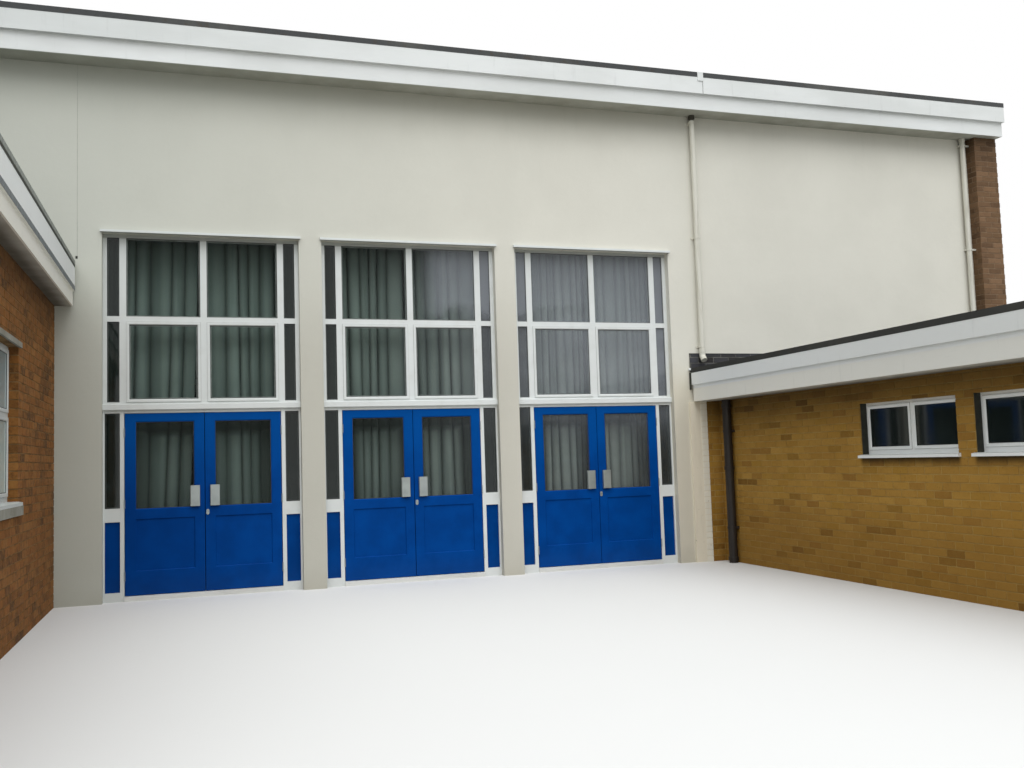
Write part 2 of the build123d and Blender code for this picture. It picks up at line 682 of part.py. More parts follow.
def wing_windows():
    frames, panes = [], []
    right = (RIGHT_SPANS, RIGHT_WINDOW_SILL, RIGHT_WINDOW_HEAD, ())
    left = (LEFT_SPANS, LEFT_WINDOW_SILL, LEFT_WINDOW_HEAD, (LEFT_TRANSOM_BOTTOM, LEFT_TRANSOM_TOP))
    faces = [(RIGHT_COURT_FACE, -1, right), (RIGHT_OUTER_FACE, 1, right),
             (LEFT_COURT_FACE, 1, left), (LEFT_OUTER_FACE, -1, left)]
    for x_face, outward, (spans, z0, z1, transoms) in faces:
        for y0, y1 in spans:
            frame, glass = wing_window(x_face, outward, y0, y1, z0 + WING_SILL_HEIGHT, z1, transoms)
            frames.append(frame)
            panes += glass
    return frames, panes


def wing_sill(x_face, outward, y0, y1, z0):
    back = x_face - outward * (WING_FRAME_SETBACK + WING_FRAME_DEPTH)
    a, b = sorted((back, x_face))
    top = z0 + WING_SILL_HEIGHT
    inside = block(a, b, y0, y1, z0, top)
    profile = nose_profile(x_face, outward, WING_SILL_PROJECTION, z0, top, WING_SILL_FALL)
    return inside + drawn_along_y(profile, y0 - WING_SILL_OVERSAIL, y1 + WING_SILL_OVERSAIL)


def wing_sills():
    pieces = []
    for x_face, outward in ((RIGHT_COURT_FACE, -1), (RIGHT_OUTER_FACE, 1)):
        pieces += [wing_sill(x_face, outward, y0, y1, RIGHT_WINDOW_SILL) for y0, y1 in RIGHT_SPANS]
    for x_face, outward in ((LEFT_COURT_FACE, 1), (LEFT_OUTER_FACE, -1)):
        pieces += [wing_sill(x_face, outward, y0, y1, LEFT_WINDOW_SILL) for y0, y1 in LEFT_SPANS]
    return pieces


def left_wing_lintels():
    pieces = []
    for x_face, outward in ((LEFT_COURT_FACE, 1), (LEFT_OUTER_FACE, -1)):
        lintel = nose_profile(x_face, outward, LINTEL_PROJECTION, LEFT_WINDOW_HEAD,
                              LEFT_WINDOW_HEAD + LINTEL_HEIGHT, LINTEL_FALL)
        sill = nose_profile(x_face, outward, CONCRETE_SILL_PROJECTION, LEFT_WINDOW_SILL - CONCRETE_SILL,
                            LEFT_WINDOW_SILL, 0)
        for y0, y1 in LEFT_SPANS:
            for outline in (lintel, sill):
                pieces.append(drawn_along_y(outline, y0 - LINTEL_BEARING, y1 + LINTEL_BEARING))
    return pieces


def wing_outline(court, outer, overhang):
    lo, hi = sorted((court, outer))
    return (lo - overhang, hi + overhang, WING_END - overhang, FRONT_FACE)


RIGHT_OUTLINE = wing_outline(RIGHT_COURT_FACE, RIGHT_OUTER_FACE, RIGHT_OVERHANG - FASCIA_BOARD)
LEFT_OUTLINE = wing_outline(LEFT_COURT_FACE, LEFT_OUTER_FACE, LEFT_OVERHANG - FASCIA_BOARD)


def wing_roof_decks():
    return [clear_of_end_piers(block(*RIGHT_OUTLINE, RIGHT_WALL_TOP, RIGHT_WALL_TOP + RIGHT_DECK)),
            clear_of_end_piers(block(*LEFT_OUTLINE, LEFT_WALL_TOP, LEFT_WALL_TOP + LEFT_DECK))]


def wing_soffit(outline, court, outer, z):
    lo, hi = sorted((court, outer))
    board = block(*outline, z, z + SOFFIT_BOARD)
    board -= block(lo, hi, WING_END, FRONT_FACE, z, z + SOFFIT_BOARD)
    return clear_of_end_piers(board)


def boards_on_three_sides(outline, out, width, z0, z1):
    """Straight boards along the court side, the end and the outer side of a wing roof.

    Their faces stand out from the outline by out. The outer board stops at the pier of the hall."""
    x0, x1, y0, y1 = outline
    low, high = [y1 - (WING_FASCIA_GAP if abs(x) < RENDER_END else END_WALL_PROJECTION) for x in (x0, x1)]
    front = y0 - out
    return [block(x0 - out, x1 + out, front, front + width, z0, z1),
            block(x0 - out, x0 - out + width, front + width, low, z0, z1),
            block(x1 + out - width, x1 + out, front + width, high, z0, z1)]


def wing_fascia(outline, soffit, lower, upper):
    upper_board = FASCIA_BOARD + WING_FASCIA_STEP
    step = soffit + lower
    return (boards_on_three_sides(outline, FASCIA_BOARD, FASCIA_BOARD, soffit, step)
            + boards_on_three_sides(outline, upper_board, upper_board, step, step + upper))


def wing_kerb(outline, z, height):
    out = FASCIA_BOARD + WING_FASCIA_STEP + KERB_LIP
    return boards_on_three_sides(outline, out, ROOF_KERB_WIDTH, z, z + height)


def wing_kerbs():
    return (wing_kerb(RIGHT_OUTLINE, RIGHT_WALL_TOP + RIGHT_DECK, RIGHT_KERB_HEIGHT)
            + wing_kerb(LEFT_OUTLINE, LEFT_WALL_TOP + LEFT_DECK, LEFT_KERB_HEIGHT))


def right_roof_upstand():
    x0 = RIGHT_COURT_FACE - RIGHT_OVERHANG - WING_FASCIA_STEP
    z0 = RIGHT_WALL_TOP + RIGHT_DECK
    return [block(x0, RENDER_END, FRONT_FACE - UPSTAND_THICKNESS, FRONT_FACE, z0,
                  z0 + RIGHT_KERB_HEIGHT + UPSTAND_HEIGHT)]


def court_pilaster():
    return [block(PILASTER_FROM_BAYS, PILASTER_END, PILASTER_FACE, FRONT_FACE, 0, RIGHT_SOFFIT_HEIGHT)]


# Pipes

def collar(x, y, z, diameter):
    return z, z + PIPE_COLLAR_HEIGHT, round_bar(x, y, z, z + PIPE_COLLAR_HEIGHT, diameter + PIPE_COLLAR * 2)


def pipe_lengths(x, y, z0, z1, diameter, fittings):
    """Plain pipe between its collars and clips, which are each (bottom, top, solid)."""
    solids = []
    for bottom, top, solid in sorted(fittings, key=lambda fitting: fitting[0]):
        if bottom > z0:
            solids.append(round_bar(x, y, z0, bottom, diameter))
        solids.append(solid)
        z0 = top
    if z1 > z0:
        solids.append(round_bar(x, y, z0, z1, diameter))
    return solids


def downpipe(x, held_by):
    """A pipe from the soffit to its shoe over the wing's roof, with collars, and clips to the wall.

    The clips reach along the wall to held_by."""
    y = FRONT_FACE - DOWNPIPE_STANDOFF - DOWNPIPE_DIAMETER / 2
    outlet = RIGHT_WALL_TOP + RIGHT_DECK + ROOF_CLEARANCE
    turn = outlet + SHOE_DROP
    shoe_top = turn + PIPE_COLLAR_HEIGHT
    route = FilletPolyline((x, y, shoe_top), (x, y, turn), (x, y - SHOE_REACH, outlet), radius=SHOE_BEND)
    shoe = sweep(Plane(origin=(x, y, shoe_top), z_dir=(0, 0, -1)) * Circle(SHOE_DIAMETER / 2), path=route)
    fittings = [collar(x, y, z, DOWNPIPE_DIAMETER) for z in (shoe_top, EAVES_HEIGHT - PIPE_COLLAR_HEIGHT)]
    half = DOWNPIPE_DIAMETER / 2 + PIPE_COLLAR / 2
    for z in (shoe_top + PIPE_CLIP_MARGIN, (EAVES_HEIGHT + outlet) / 2, EAVES_HEIGHT - PIPE_CLIP_MARGIN):
        clip = round_bar(x, y, z - PIPE_CLIP, z, half * 2)
        clip += block(x - half, x + half, y, FRONT_FACE, z - PIPE_CLIP, z)
        if held_by > x + half:
            clip += block(x, held_by, y - PIPE_CLIP / 2, y + PIPE_CLIP / 2, z - PIPE_CLIP, z)
        fittings.append((z - PIPE_CLIP, z, clip))
    return [shoe] + pipe_lengths(x, y, shoe_top, EAVES_HEIGHT, DOWNPIPE_DIAMETER, fittings)


def hall_downpipes():
    court = downpipe(COURT_PIPE_FROM_BAYS, COURT_PIPE_FROM_BAYS)
    return court + downpipe(HALF_LENGTH - END_PIPE_FROM_END, RENDER_END)


def court_soil_pipe():
    x = RIGHT_COURT_FACE - SOIL_PIPE_STANDOFF - SOIL_PIPE_DIAMETER / 2
    y = FRONT_FACE - SOIL_PIPE_FROM_HALL
    fittings = [collar(x, y, z, SOIL_PIPE_DIAMETER) for z in SOIL_COLLAR_HEIGHTS]
    half = SOIL_PIPE_DIAMETER / 2 + PIPE_COLLAR / 2
    for z in SOIL_CLIP_HEIGHTS:
        clip = block(x, RIGHT_COURT_FACE, y - half, y + half, z, z + SOIL_CLIP)
        fittings.append((z, z + SOIL_CLIP, clip + round_bar(x, y, z, z + SOIL_CLIP, half * 2)))
    return pipe_lengths(x, y, 0, RIGHT_SOFFIT_HEIGHT, SOIL_PIPE_DIAMETER, fittings)


def build():
    right_court, right_outer = right_wing_walls()
    left_court, left_outer = left_wing_walls()
    wing_frames, wing_panes = wing_windows()
    nodes = {
        "floor_slabs": floor_slabs(),
        "front_wall_left": front_wall_left(),
        "front_wall_right": front_wall_right(),
        "front_wall_piers": front_wall_piers(),
        "front_wall_over_bays": front_wall_over_bays(),
        "hall_back_wall": hall_back_wall(),
        "hall_end_walls": hall_end_walls(),
        "hall_roof_deck": hall_roof_deck(),
        "hall_soffits": hall_soffits(),
        "hall_fascia_lower": hall_fascia_lower(),
        "hall_fascia_upper": hall_fascia_upper(),
        "hall_roof_kerb": hall_roof_kerb(),
        "bay_uprights": bay_uprights(),
        "bay_rails": bay_rails(),
        "bay_sashes": bay_sashes(),
        "bay_side_panels": bay_side_panels(),
        "bay_sills": bay_sills(),
        "bay_head_drips": bay_head_drips(),
        "door_thresholds": door_thresholds(),
        "frame_hinges": frame_hinges(),
        "window_glass": bay_panes() + wing_panes,
        "curtain_tracks": curtain_tracks(),
        "curtains": curtains(),
        "hall_downpipes": hall_downpipes(),
        "court_soil_pipe": court_soil_pipe(),
        "court_pilaster": court_pilaster(),
        "right_roof_upstand": right_roof_upstand(),
        "right_wing_court_wall": [right_court],
        "right_wing_outer_walls": [right_outer],
        "left_wing_court_wall": [left_court],
        "left_wing_outer_walls": [left_outer],
        "left_wing_lintels": left_wing_lintels(),
        "wing_roof_decks": wing_roof_decks(),
        "wing_soffits": [wing_soffit(RIGHT_OUTLINE, RIGHT_COURT_FACE, RIGHT_OUTER_FACE, RIGHT_SOFFIT_HEIGHT),
                         wing_soffit(LEFT_OUTLINE, LEFT_COURT_FACE, LEFT_OUTER_FACE, LEFT_SOFFIT_HEIGHT)],
        "right_wing_fascia": wing_fascia(RIGHT_OUTLINE, RIGHT_SOFFIT_HEIGHT, RIGHT_FASCIA_LOWER, RIGHT_FASCIA_UPPER),
        "left_wing_fascia": wing_fascia(LEFT_OUTLINE, LEFT_SOFFIT_HEIGHT, LEFT_FASCIA_LOWER, LEFT_FASCIA_UPPER),
        "wing_roof_kerbs": wing_kerbs(),
        "wing_window_frames": wing_frames,
        "wing_window_sills": wing_sills(),
    }
    for n, centre in enumerate(BAY_CENTRES, start=1):
        for side, hand in ((-1, "left"), (1, "right")):
            nodes[f"door_{n}_{hand}_leaf"] = door_leaf(centre, side)
            nodes[f"door_{n}_{hand}_glass"] = door_glass(centre, side)
            nodes[f"door_{n}_{hand}_ironmongery"] = door_ironmongery(centre, side)
    return nodes


os.makedirs("parts", exist_ok=True)
for name, solids in build().items():
    shape = solids[0] if len(solids) == 1 else Compound(children=solids)
    shape.label = name
    export_step(shape, f"parts/{name}.step")
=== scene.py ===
import json
import math

import bpy
from mathutils import Matrix, Vector


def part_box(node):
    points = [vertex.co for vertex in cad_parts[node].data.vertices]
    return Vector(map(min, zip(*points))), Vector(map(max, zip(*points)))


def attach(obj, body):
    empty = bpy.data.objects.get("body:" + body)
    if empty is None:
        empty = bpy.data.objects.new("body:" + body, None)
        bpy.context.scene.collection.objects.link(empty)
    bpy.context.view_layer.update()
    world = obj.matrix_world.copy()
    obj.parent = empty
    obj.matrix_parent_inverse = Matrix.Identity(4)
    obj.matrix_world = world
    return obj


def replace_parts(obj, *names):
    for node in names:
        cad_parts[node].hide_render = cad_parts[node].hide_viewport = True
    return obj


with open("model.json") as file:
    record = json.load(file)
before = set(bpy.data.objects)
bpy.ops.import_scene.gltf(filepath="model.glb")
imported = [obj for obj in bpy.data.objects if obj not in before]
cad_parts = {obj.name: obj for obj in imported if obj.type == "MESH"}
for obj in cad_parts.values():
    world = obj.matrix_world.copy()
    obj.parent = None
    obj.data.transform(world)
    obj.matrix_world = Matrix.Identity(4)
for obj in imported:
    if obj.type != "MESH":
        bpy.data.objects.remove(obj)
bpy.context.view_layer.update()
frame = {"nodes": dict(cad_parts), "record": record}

NODES = frame["nodes"]
SLOTS = {part["node"]: part["material_slot"] for part in frame["record"]["subparts"]}


# Places, in metres

PILASTER_FACE, PILASTER_END = -0.1925, 3.905
FRONT_FACE, BACK_FACE, WING_END = -0.1675, 8.2325, -8.1675
RIGHT_COURT, RIGHT_OUTER, RIGHT_SOFFIT = 4.102, 8.472, 2.078
LEFT_COURT, LEFT_OUTER, LEFT_SOFFIT = -3.922, -8.668, 3.211
RIGHT_SPANS = [(-4.3915, -3.0415), (-5.9565, -4.6065), (-7.5215, -6.1715)]
LEFT_SPANS = [(-4.1745, -2.3745), (-6.7745, -4.9745)]
RIGHT_OPENING, LEFT_OPENING = (1.300, 1.864), (1.150, 2.500)
REVEAL, SHADE_STRIP, SHADE_STRIP_FROM, SILL_HEIGHT = 0.076, 0.006, 0.004, 0.035
HALF_LENGTH, RENDER_END, PIER_FRONT, PIER_BACK = 8.848, 8.458, -0.3375, 8.4025
EAVES = 5.909
GROUND = 0.001
BEHIND_RENDER = -0.1665


# Camera: where the photograph was taken from, its aim and its focal length for 1024 pixels

YAW, PITCH, ROLL = math.radians(18.009), math.radians(4.354), math.radians(-1.854)
FOCAL_PIXELS, IMAGE_WIDTH = 974.7, 1024
SENSOR_WIDTH, FARTHEST = 36, 500
CAMERA_PLACE = Vector((-2.472, -11.577, 1.416))


def set_up_camera():
    """A camera at CAMERA_PLACE, aimed by yaw and pitch and then rolled about its own line of sight."""
    ahead = Vector((math.sin(YAW) * math.cos(PITCH), math.cos(YAW) * math.cos(PITCH), math.sin(PITCH)))
    level_right = Vector((math.cos(YAW), -math.sin(YAW), 0))
    level_up = level_right.cross(ahead)
    right = math.cos(ROLL) * level_right + math.sin(ROLL) * level_up
    up = math.cos(ROLL) * level_up - math.sin(ROLL) * level_right
    lens = bpy.data.cameras.new("camera")
    lens.sensor_width = SENSOR_WIDTH
    lens.lens = FOCAL_PIXELS / IMAGE_WIDTH * SENSOR_WIDTH
    lens.clip_end = FARTHEST
    camera = bpy.data.objects.new("camera", lens)
    bpy.context.scene.collection.objects.link(camera)
    turn = Matrix((right, up, -ahead)).transposed().to_4x4()
    camera.matrix_world = Matrix.Translation(CAMERA_PLACE) @ turn
    bpy.context.scene.camera = camera


# Materials

class Wire:
    """A value in a material's nodes. Each sum done with it adds a Math node."""

    def __init__(self, finish, socket):
        self.finish, self.socket = finish, socket

    def maths(self, operation, *values):
        return self.finish.node("Math", {"operation": operation}, dict(enumerate(values)))

    def out(self, name):
        return Wire(self.finish, self.socket.node.outputs[name])

    def __add__(self, other):
        return self.maths("ADD", self, other)

    def __radd__(self, other):
        return self.maths("ADD", other, self)

    def __sub__(self, other):
        return self.maths("SUBTRACT", self, other)

    def __rsub__(self, other):
        return self.maths("SUBTRACT", other, self)

    def __mul__(self, other):
        return self.maths("MULTIPLY", self, other)

    def __rmul__(self, other):
        return self.maths("MULTIPLY", other, self)

    def __pow__(self, other):
        return self.maths("POWER", self, other)

    def __abs__(self):
        return self.maths("ABSOLUTE", self)


def shade(red, green, blue):
    """A colour read as 0 to 255 on a screen, as the linear colour that a shader takes."""
    def linear(value):
        value /= 255
        return value / 12.92 if value <= 0.04045 else ((value + 0.055) / 1.055) ** 2.4
    return (linear(red), linear(green), linear(blue), 1)


class Finish:
    """One surface finish: a material, its shader and the nodes that feed it. Sizes are in metres."""

    def __init__(self, name, specular=0.5, **fixed):
        self.material = bpy.data.materials.new(name)
        self.material.use_nodes = True
        self.tree = self.material.node_tree
        self.shader = self.tree.nodes["Principled BSDF"]
        self.place = self.node("TexCoord").out("Object")
        self.colour = self.normal = None
        self.feed("Specular IOR Level", specular)
        for socket, value in fixed.items():
            self.feed(socket.replace("_", " "), value)

    def node(self, kind, settings=None, sockets=None):
        """Adds a shader node with its settings and inputs, and gives its first output."""
        made = self.tree.nodes.new("ShaderNode" + kind)
        for name, value in (settings or {}).items():
            if name == "stops":
                while len(made.color_ramp.elements) < len(value):
                    made.color_ramp.elements.new(0.5)
                for element, (position, colour) in zip(made.color_ramp.elements, value):
                    element.position, element.color = position, colour
            else:
                setattr(made, name, value)
        for name, value in (sockets or {}).items():
            self.join(value, made.inputs[name])
        return Wire(self, made.outputs[0])

    def join(self, value, socket):
        if isinstance(value, Wire):
            self.tree.links.new(value.socket, socket)
        else:
            socket.default_value = value

    def feed(self, name, value):
        self.join(value, self.shader.inputs[name])

    def axes(self):
        """The place on the surface as x, y and z."""
        split = self.node("SeparateXYZ", None, {0: self.place})
        return split, split.out("Y"), split.out("Z")

    def larger(self, first, second):
        return self.node("Math", {"operation": "MAXIMUM"}, {0: first, 1: second})

    def from_nearest(self, value, pitch):
        """How far value is, either way, from the nearest multiple of pitch."""
        half = pitch / 2
        return abs(self.node("Math", {"operation": "WRAP"}, {0: value, 1: half, 2: -half}))

    def noise(self, size, detail=3, roughness=0.55, stretch=(1, 1, 1), shift=0):
        """Cloudy noise from 0 to 1, with lumps of about size metres; a low stretch draws them out."""
        where = self.node("VectorMath", {"operation": "MULTIPLY"}, {0: self.place, 1: stretch})
        if shift:
            where = self.node("VectorMath", {"operation": "ADD"}, {0: where, 1: (shift, shift, shift)})
        return self.node("TexNoise", None,
                         {"Vector": where, "Scale": 1 / size, "Detail": detail, "Roughness": roughness})

    def between(self, value, low, high):
        """0 below low and 1 above high, smooth between; low may be the larger."""
        return self.node("MapRange", {"interpolation_type": "SMOOTHSTEP"}, {0: value, 1: low, 2: high})

    def mix(self, amount, first, second):
        """The first colour turned into the second by amount; 6, 7 and 2 are the node's colour sockets."""
        mixed = self.node("Mix", {"data_type": "RGBA"}, {0: amount, 6: first, 7: second})
        return Wire(self, mixed.socket.node.outputs[2])

    def paint(self, amount, first, second):
        """The surface in the first tone, turned into the second by amount."""
        self.colour = self.mix(amount, first, second)
        self.feed("Base Color", self.colour)

    def stain(self, amount, tone):
        """Turns the paint so far by amount into another tone."""
        self.paint(amount, self.colour, tone)

    def ramp(self, value, stops):
        """A colour looked up in stops, each a position and its colour."""
        return self.node("ValToRGB", {"stops": stops}, {0: value})

    def bump(self, height, depth, strength=1.0):
        """Relief of that depth, on top of any relief so far."""
        sockets = {"Height": height, "Distance": depth, "Strength": strength}
        if self.normal:
            sockets["Normal"] = self.normal
        self.normal = self.node("Bump", None, sockets)
        self.feed("Normal", self.normal)

    def finished(self, roughness, *relief):
        """The material, with its roughness and a last bump."""
        self.feed("Roughness", roughness)
        self.bump(*relief)
        return self.material


def masonry_paint():
    """Cream paint on sand and cement render: fine grit, faint patches, rain marks below the eaves, and
    painted light and shade.
    """
    f = Finish("render", 0.2)
    x, _, z = f.axes()
    patches = f.noise(0.9, 4)
    grit = f.noise(0.006, 2, 0.7)
    streaks = f.noise(0.07, 4, 0.6, stretch=(1, 1, 0.05))
    f.paint(f.between(patches, 0.3, 0.75), shade(228, 226, 215), shade(222, 220, 209))
    runs = f.between(streaks, 0.5, 0.8) * f.between(z, 5.0, 5.9)
    f.stain(runs * 0.07, shade(160, 158, 144))
    # painted shade under the eaves, with some dust in it
    eaves = f.between(z + patches * 0.1, 5.3, 6.0) * (1 - f.between(x, 2.0, 6.0) * 0.8)
    f.stain(eaves * 0.55, shade(140, 140, 124))
    # painted shade: the wall darker towards the left wing
    painted_shade_towards_left = f.between(x, 3.2, -5.5)
    f.stain(painted_shade_towards_left * 0.62, shade(178, 184, 175))
    # painted shade in the corner by the left wing, deepest low down
    painted_shade_in_corner = f.between(x, -2.6, -3.9)
    piers = f.between(x, 2.0, 1.0) * f.between(z, 4.0, 2.4) * (1 - painted_shade_in_corner * 0.6)
    f.stain(piers * 0.48, shade(180, 176, 164))
    f.stain(painted_shade_in_corner * f.between(z, 5.5, 2.0) * 0.14, shade(148, 158, 148))
    # painted bounce light: a warm, darker tone low on the wall beside the yellow brick wing
    painted_bounce_beside_wing = f.between(x, 3.3, 3.45) * f.between(z, 2.7, 2.2)
    f.stain(painted_bounce_beside_wing * 0.3, shade(198, 183, 149))
    splashed = f.between(z + f.noise(0.35, 3) * 0.4, 0.5, 0.15)
    f.stain(splashed * 0.25, shade(158, 154, 138))
    f.stain(f.between(grit, 0.35, 0.6) * 0.12, shade(150, 148, 134))
    f.bump(grit, 0.003, 0.5)
    return f.finished(0.8 + grit * 0.16, f.noise(0.09, 3), 0.004, 0.5)


def painted_shade_under_soffit(f, z, eaves):
    """The painted shade on a wall under its soffit: where it starts and ends, and how dark."""
    low, high, amount = eaves
    f.stain(f.between(z + f.noise(0.4, 3) * 0.12, low, high) * amount, shade(44, 32, 20))


SILL_REACH = 0.69
PAINTED_SHADOW_UNDER_SILL = shade(30, 22, 12)


def below_sills(f, y, z):
    """How dark the painted shadow is in the band under each window sill of the right wing."""
    first, pitch = sum(RIGHT_SPANS[0]) / 2, RIGHT_SPANS[0][0] - RIGHT_SPANS[1][0]
    across = f.between(f.from_nearest(y - first, pitch), SILL_REACH + 0.03, SILL_REACH - 0.03)
    under = f.between(z + f.noise(0.12, 3) * 0.03, 1.17, 1.312) ** 1.6 * f.between(z, 1.345, 1.335)
    windows = f.between(y, first + 0.76, first + 0.74) * f.between(y, -7.60, -7.58)
    return under * across * windows * 0.82


NO_EAVES = (90, 91, 0)  # far above the building


def fired_brick(name, faces, fleck, patch, smeared=0.0, eaves=NO_EAVES):
    """Brick with a tone of its own for each, flecks from the fire, smears of mortar and a rough face."""
    f = Finish(name, 0.2)
    _, y, z = f.axes()
    tone = f.node("NewGeometry").out("Random Per Island")
    f.colour = f.ramp(tone, [(n / (len(faces) - 1), face) for n, face in enumerate(faces)])
    grain = f.noise(0.005, 3, 0.7)
    spots = f.noise(0.022, 3, 0.6)
    weather = f.noise(0.7, 4)
    f.stain(f.between(spots, 0.55, 0.75) * 0.5, fleck)
    f.stain(f.between(grain, 0.5, 0.75) * 0.4, patch)
    f.stain(f.between(f.noise(0.07, 5, 0.75), 0.45, 0.65) * smeared, patch)
    f.stain(f.between(f.noise(0.1, 5, 0.75, shift=4), 0.5, 0.68) * smeared, fleck)
    away_from_hall = f.between(y, -3.5, -7.0)
    f.stain(f.between(weather, 0.5, 0.75) * 0.25 + away_from_hall * 0.2, fleck)
    if name == "yellow_brick":
        f.stain(f.between(z, 1.0, 0.4) * 0.4, fleck)
        # painted shadow under the right wing's sills
        f.stain(below_sills(f, y, z), PAINTED_SHADOW_UNDER_SILL)
    # painted shade under the soffit
    painted_shade_under_soffit(f, z, eaves)
    f.bump(grain, 0.0015, 0.7)
    return f.finished(0.72 + grain * 0.2, spots, 0.002, 0.5)


def mortar(name, light, dark, eaves=NO_EAVES):
    """Sandy mortar, which the CAD's brick walls wear behind the bricks."""
    f = Finish(name, 0.2)
    _, y, z = f.axes()
    sand = f.noise(0.003, 2, 0.7)
    smears = f.noise(0.16, 4)
    f.paint(f.between(smears, 0.35, 0.7), light, dark)
    f.stain(f.between(sand, 0.45, 0.7) * 0.4, dark)
    if name == "buff_mortar":
        f.stain(f.between(z, 1.0, 0.4) * 0.4, dark)
        # painted shadow under the right wing's sills
        f.stain(below_sills(f, y, z), PAINTED_SHADOW_UNDER_SILL)
    # painted shade under the soffit
    painted_shade_under_soffit(f, z, eaves)
    return f.finished(0.92, sand, 0.002, 0.8)


def painted_masonry(name, light, dark):
    """Paint on brick: thin runs of dirt, and spots worn down to the clay."""
    f = Finish(name, 0.2)
    grain = f.noise(0.006, 3, 0.7)
    worn = f.noise(0.05, 4, 0.65)
    dirt = f.noise(0.05, 4, 0.6, stretch=(1, 1, 0.12))
    f.paint(f.between(dirt, 0.45, 0.8) * 0.5, light, dark)
    f.stain(f.between(worn, 0.66, 0.72) * 0.7, shade(140, 126, 104))
    return f.finished(0.65 + grain * 0.25, grain, 0.0015, 0.6)


def cast_concrete():
    """Sills, lintels and floors: sandy grey, stained, with some moss."""
    f = Finish("concrete")
    sand = f.noise(0.004, 2, 0.7)
    clouds = f.noise(0.3, 5)
    moss = f.noise(0.11, 4, 0.6, shift=3)
    f.paint(f.between(clouds, 0.3, 0.7), shade(158, 156, 146), shade(132, 130, 118))
    f.stain(f.between(moss, 0.55, 0.75) * 0.4, shade(104, 108, 86))
    f.stain(f.between(sand, 0.5, 0.7) * 0.3, shade(98, 96, 88))
    return f.finished(0.8 + sand * 0.15, sand, 0.002, 0.7)


def mineral_felt():
    """Dark roofing felt: mineral grains, ponding marks and dust."""
    f = Finish("roof_felt")
    x, _, z = f.axes()
    grains = f.node("TexVoronoi", None, {"Vector": f.place, "Scale": 250})
    clouds = f.noise(1.2, 5)
    f.paint(grains, shade(44, 46, 48), shade(84, 86, 86))
    f.stain(f.between(clouds, 0.5, 0.7) * 0.5, shade(104, 104, 98))
    f.stain(f.between(f.noise(0.3, 4), 0.6, 0.75) * 0.4, shade(58, 66, 50))
    f.stain(f.between(f.noise(0.09, 4, 0.6), 0.55, 0.7) * 0.35, shade(74, 60, 42))
    kerb_towards_court = f.between(z, 2.9, 2.8) * f.between(x, 3.72, 3.70)
    f.stain(kerb_towards_court * 0.7, shade(36, 35, 28))
    return f.finished(0.82 + grains * 0.15, grains, 0.002, 0.6)


def weathered_board():
    """White boards: faint grain along the board, thin grey runs, dust on the lower lip, and painted light on
    the wings.
    """
    f = Finish("white_board", 0.3)
    x, y, z = f.axes()
    grain = f.noise(0.012, 3, 0.6, stretch=(0.06, 0.06, 1))
    runs = f.noise(0.09, 5, 0.65, stretch=(1, 1, 0.12))
    clouds = f.noise(0.7, 4, stretch=(0.5, 0.5, 1.5))
    f.paint(f.between(clouds, 0.3, 0.7), shade(231, 234, 233), shade(218, 221, 219))
    hall_upper_left = f.between(z, 6.10, 6.12) * f.between(x, 2.0, -5.0)
    f.stain(hall_upper_left * 0.4, shade(198, 203, 201))
    # painted light: the wings' boards lighter than the hall's
    wings = f.between(z, 4.2, 4.1)
    f.stain(wings, shade(239, 242, 241))
    left_lower = f.between(z, 3.38, 3.36) * f.between(x, 0.1, -0.1)
    right_lower = f.between(z, 2.26, 2.24) * f.between(x, -0.1, 0.1)
    f.stain((left_lower + right_lower) * 0.8, shade(240, 237, 225))
    right_away_from_hall = f.between(x, 3.5, 3.6) * f.between(y, -0.6, -4.5)
    f.stain(right_away_from_hall * 0.4, shade(206, 208, 205))
    f.stain(f.between(runs, 0.58, 0.85) * 0.3, shade(160, 162, 160))
    f.stain(f.between(grain, 0.6, 0.8) * 0.12, shade(180, 182, 178))
    return f.finished(0.42 + runs * 0.25, grain, 0.0008, 0.5)


def hall_soffit_board():
    """The hall's soffit: off-white and dull, darkened by painted shade deep under the roof's edge and
    towards the left.
    """
    f = Finish("hall_soffit_board", 0.2)
    x, _, _ = f.axes()
    clouds = f.noise(0.3, 4)
    # painted shade: both tones darker than the white boards, darker still towards the left
    f.paint(f.between(clouds, 0.3, 0.7), shade(186, 187, 177), shade(168, 168, 156))
    f.stain(f.between(x, 3.0, -4.0) * 0.4, shade(150, 156, 146))
    return f.finished(0.55 + clouds * 0.3, clouds, 0.001, 0.3)


def soffit_board():
    """The wings' soffits: white near the fascia, grey with painted shade towards the wall."""
    f = Finish("soffit_board", 0.2)
    x, _, _ = f.axes()
    clouds = f.noise(0.25, 4)
    # painted shade deepening from the fascia towards the wall
    painted_shade_towards_wall = f.between(x, 3.78, RIGHT_COURT) + f.between(x, -3.715, -3.88)
    f.paint(f.between(clouds, 0.3, 0.7), shade(205, 204, 196), shade(180, 178, 168))
    f.stain(painted_shade_towards_wall * 0.85, shade(68, 61, 47))
    return f.finished(0.5 + clouds * 0.3, clouds, 0.001, 0.3)


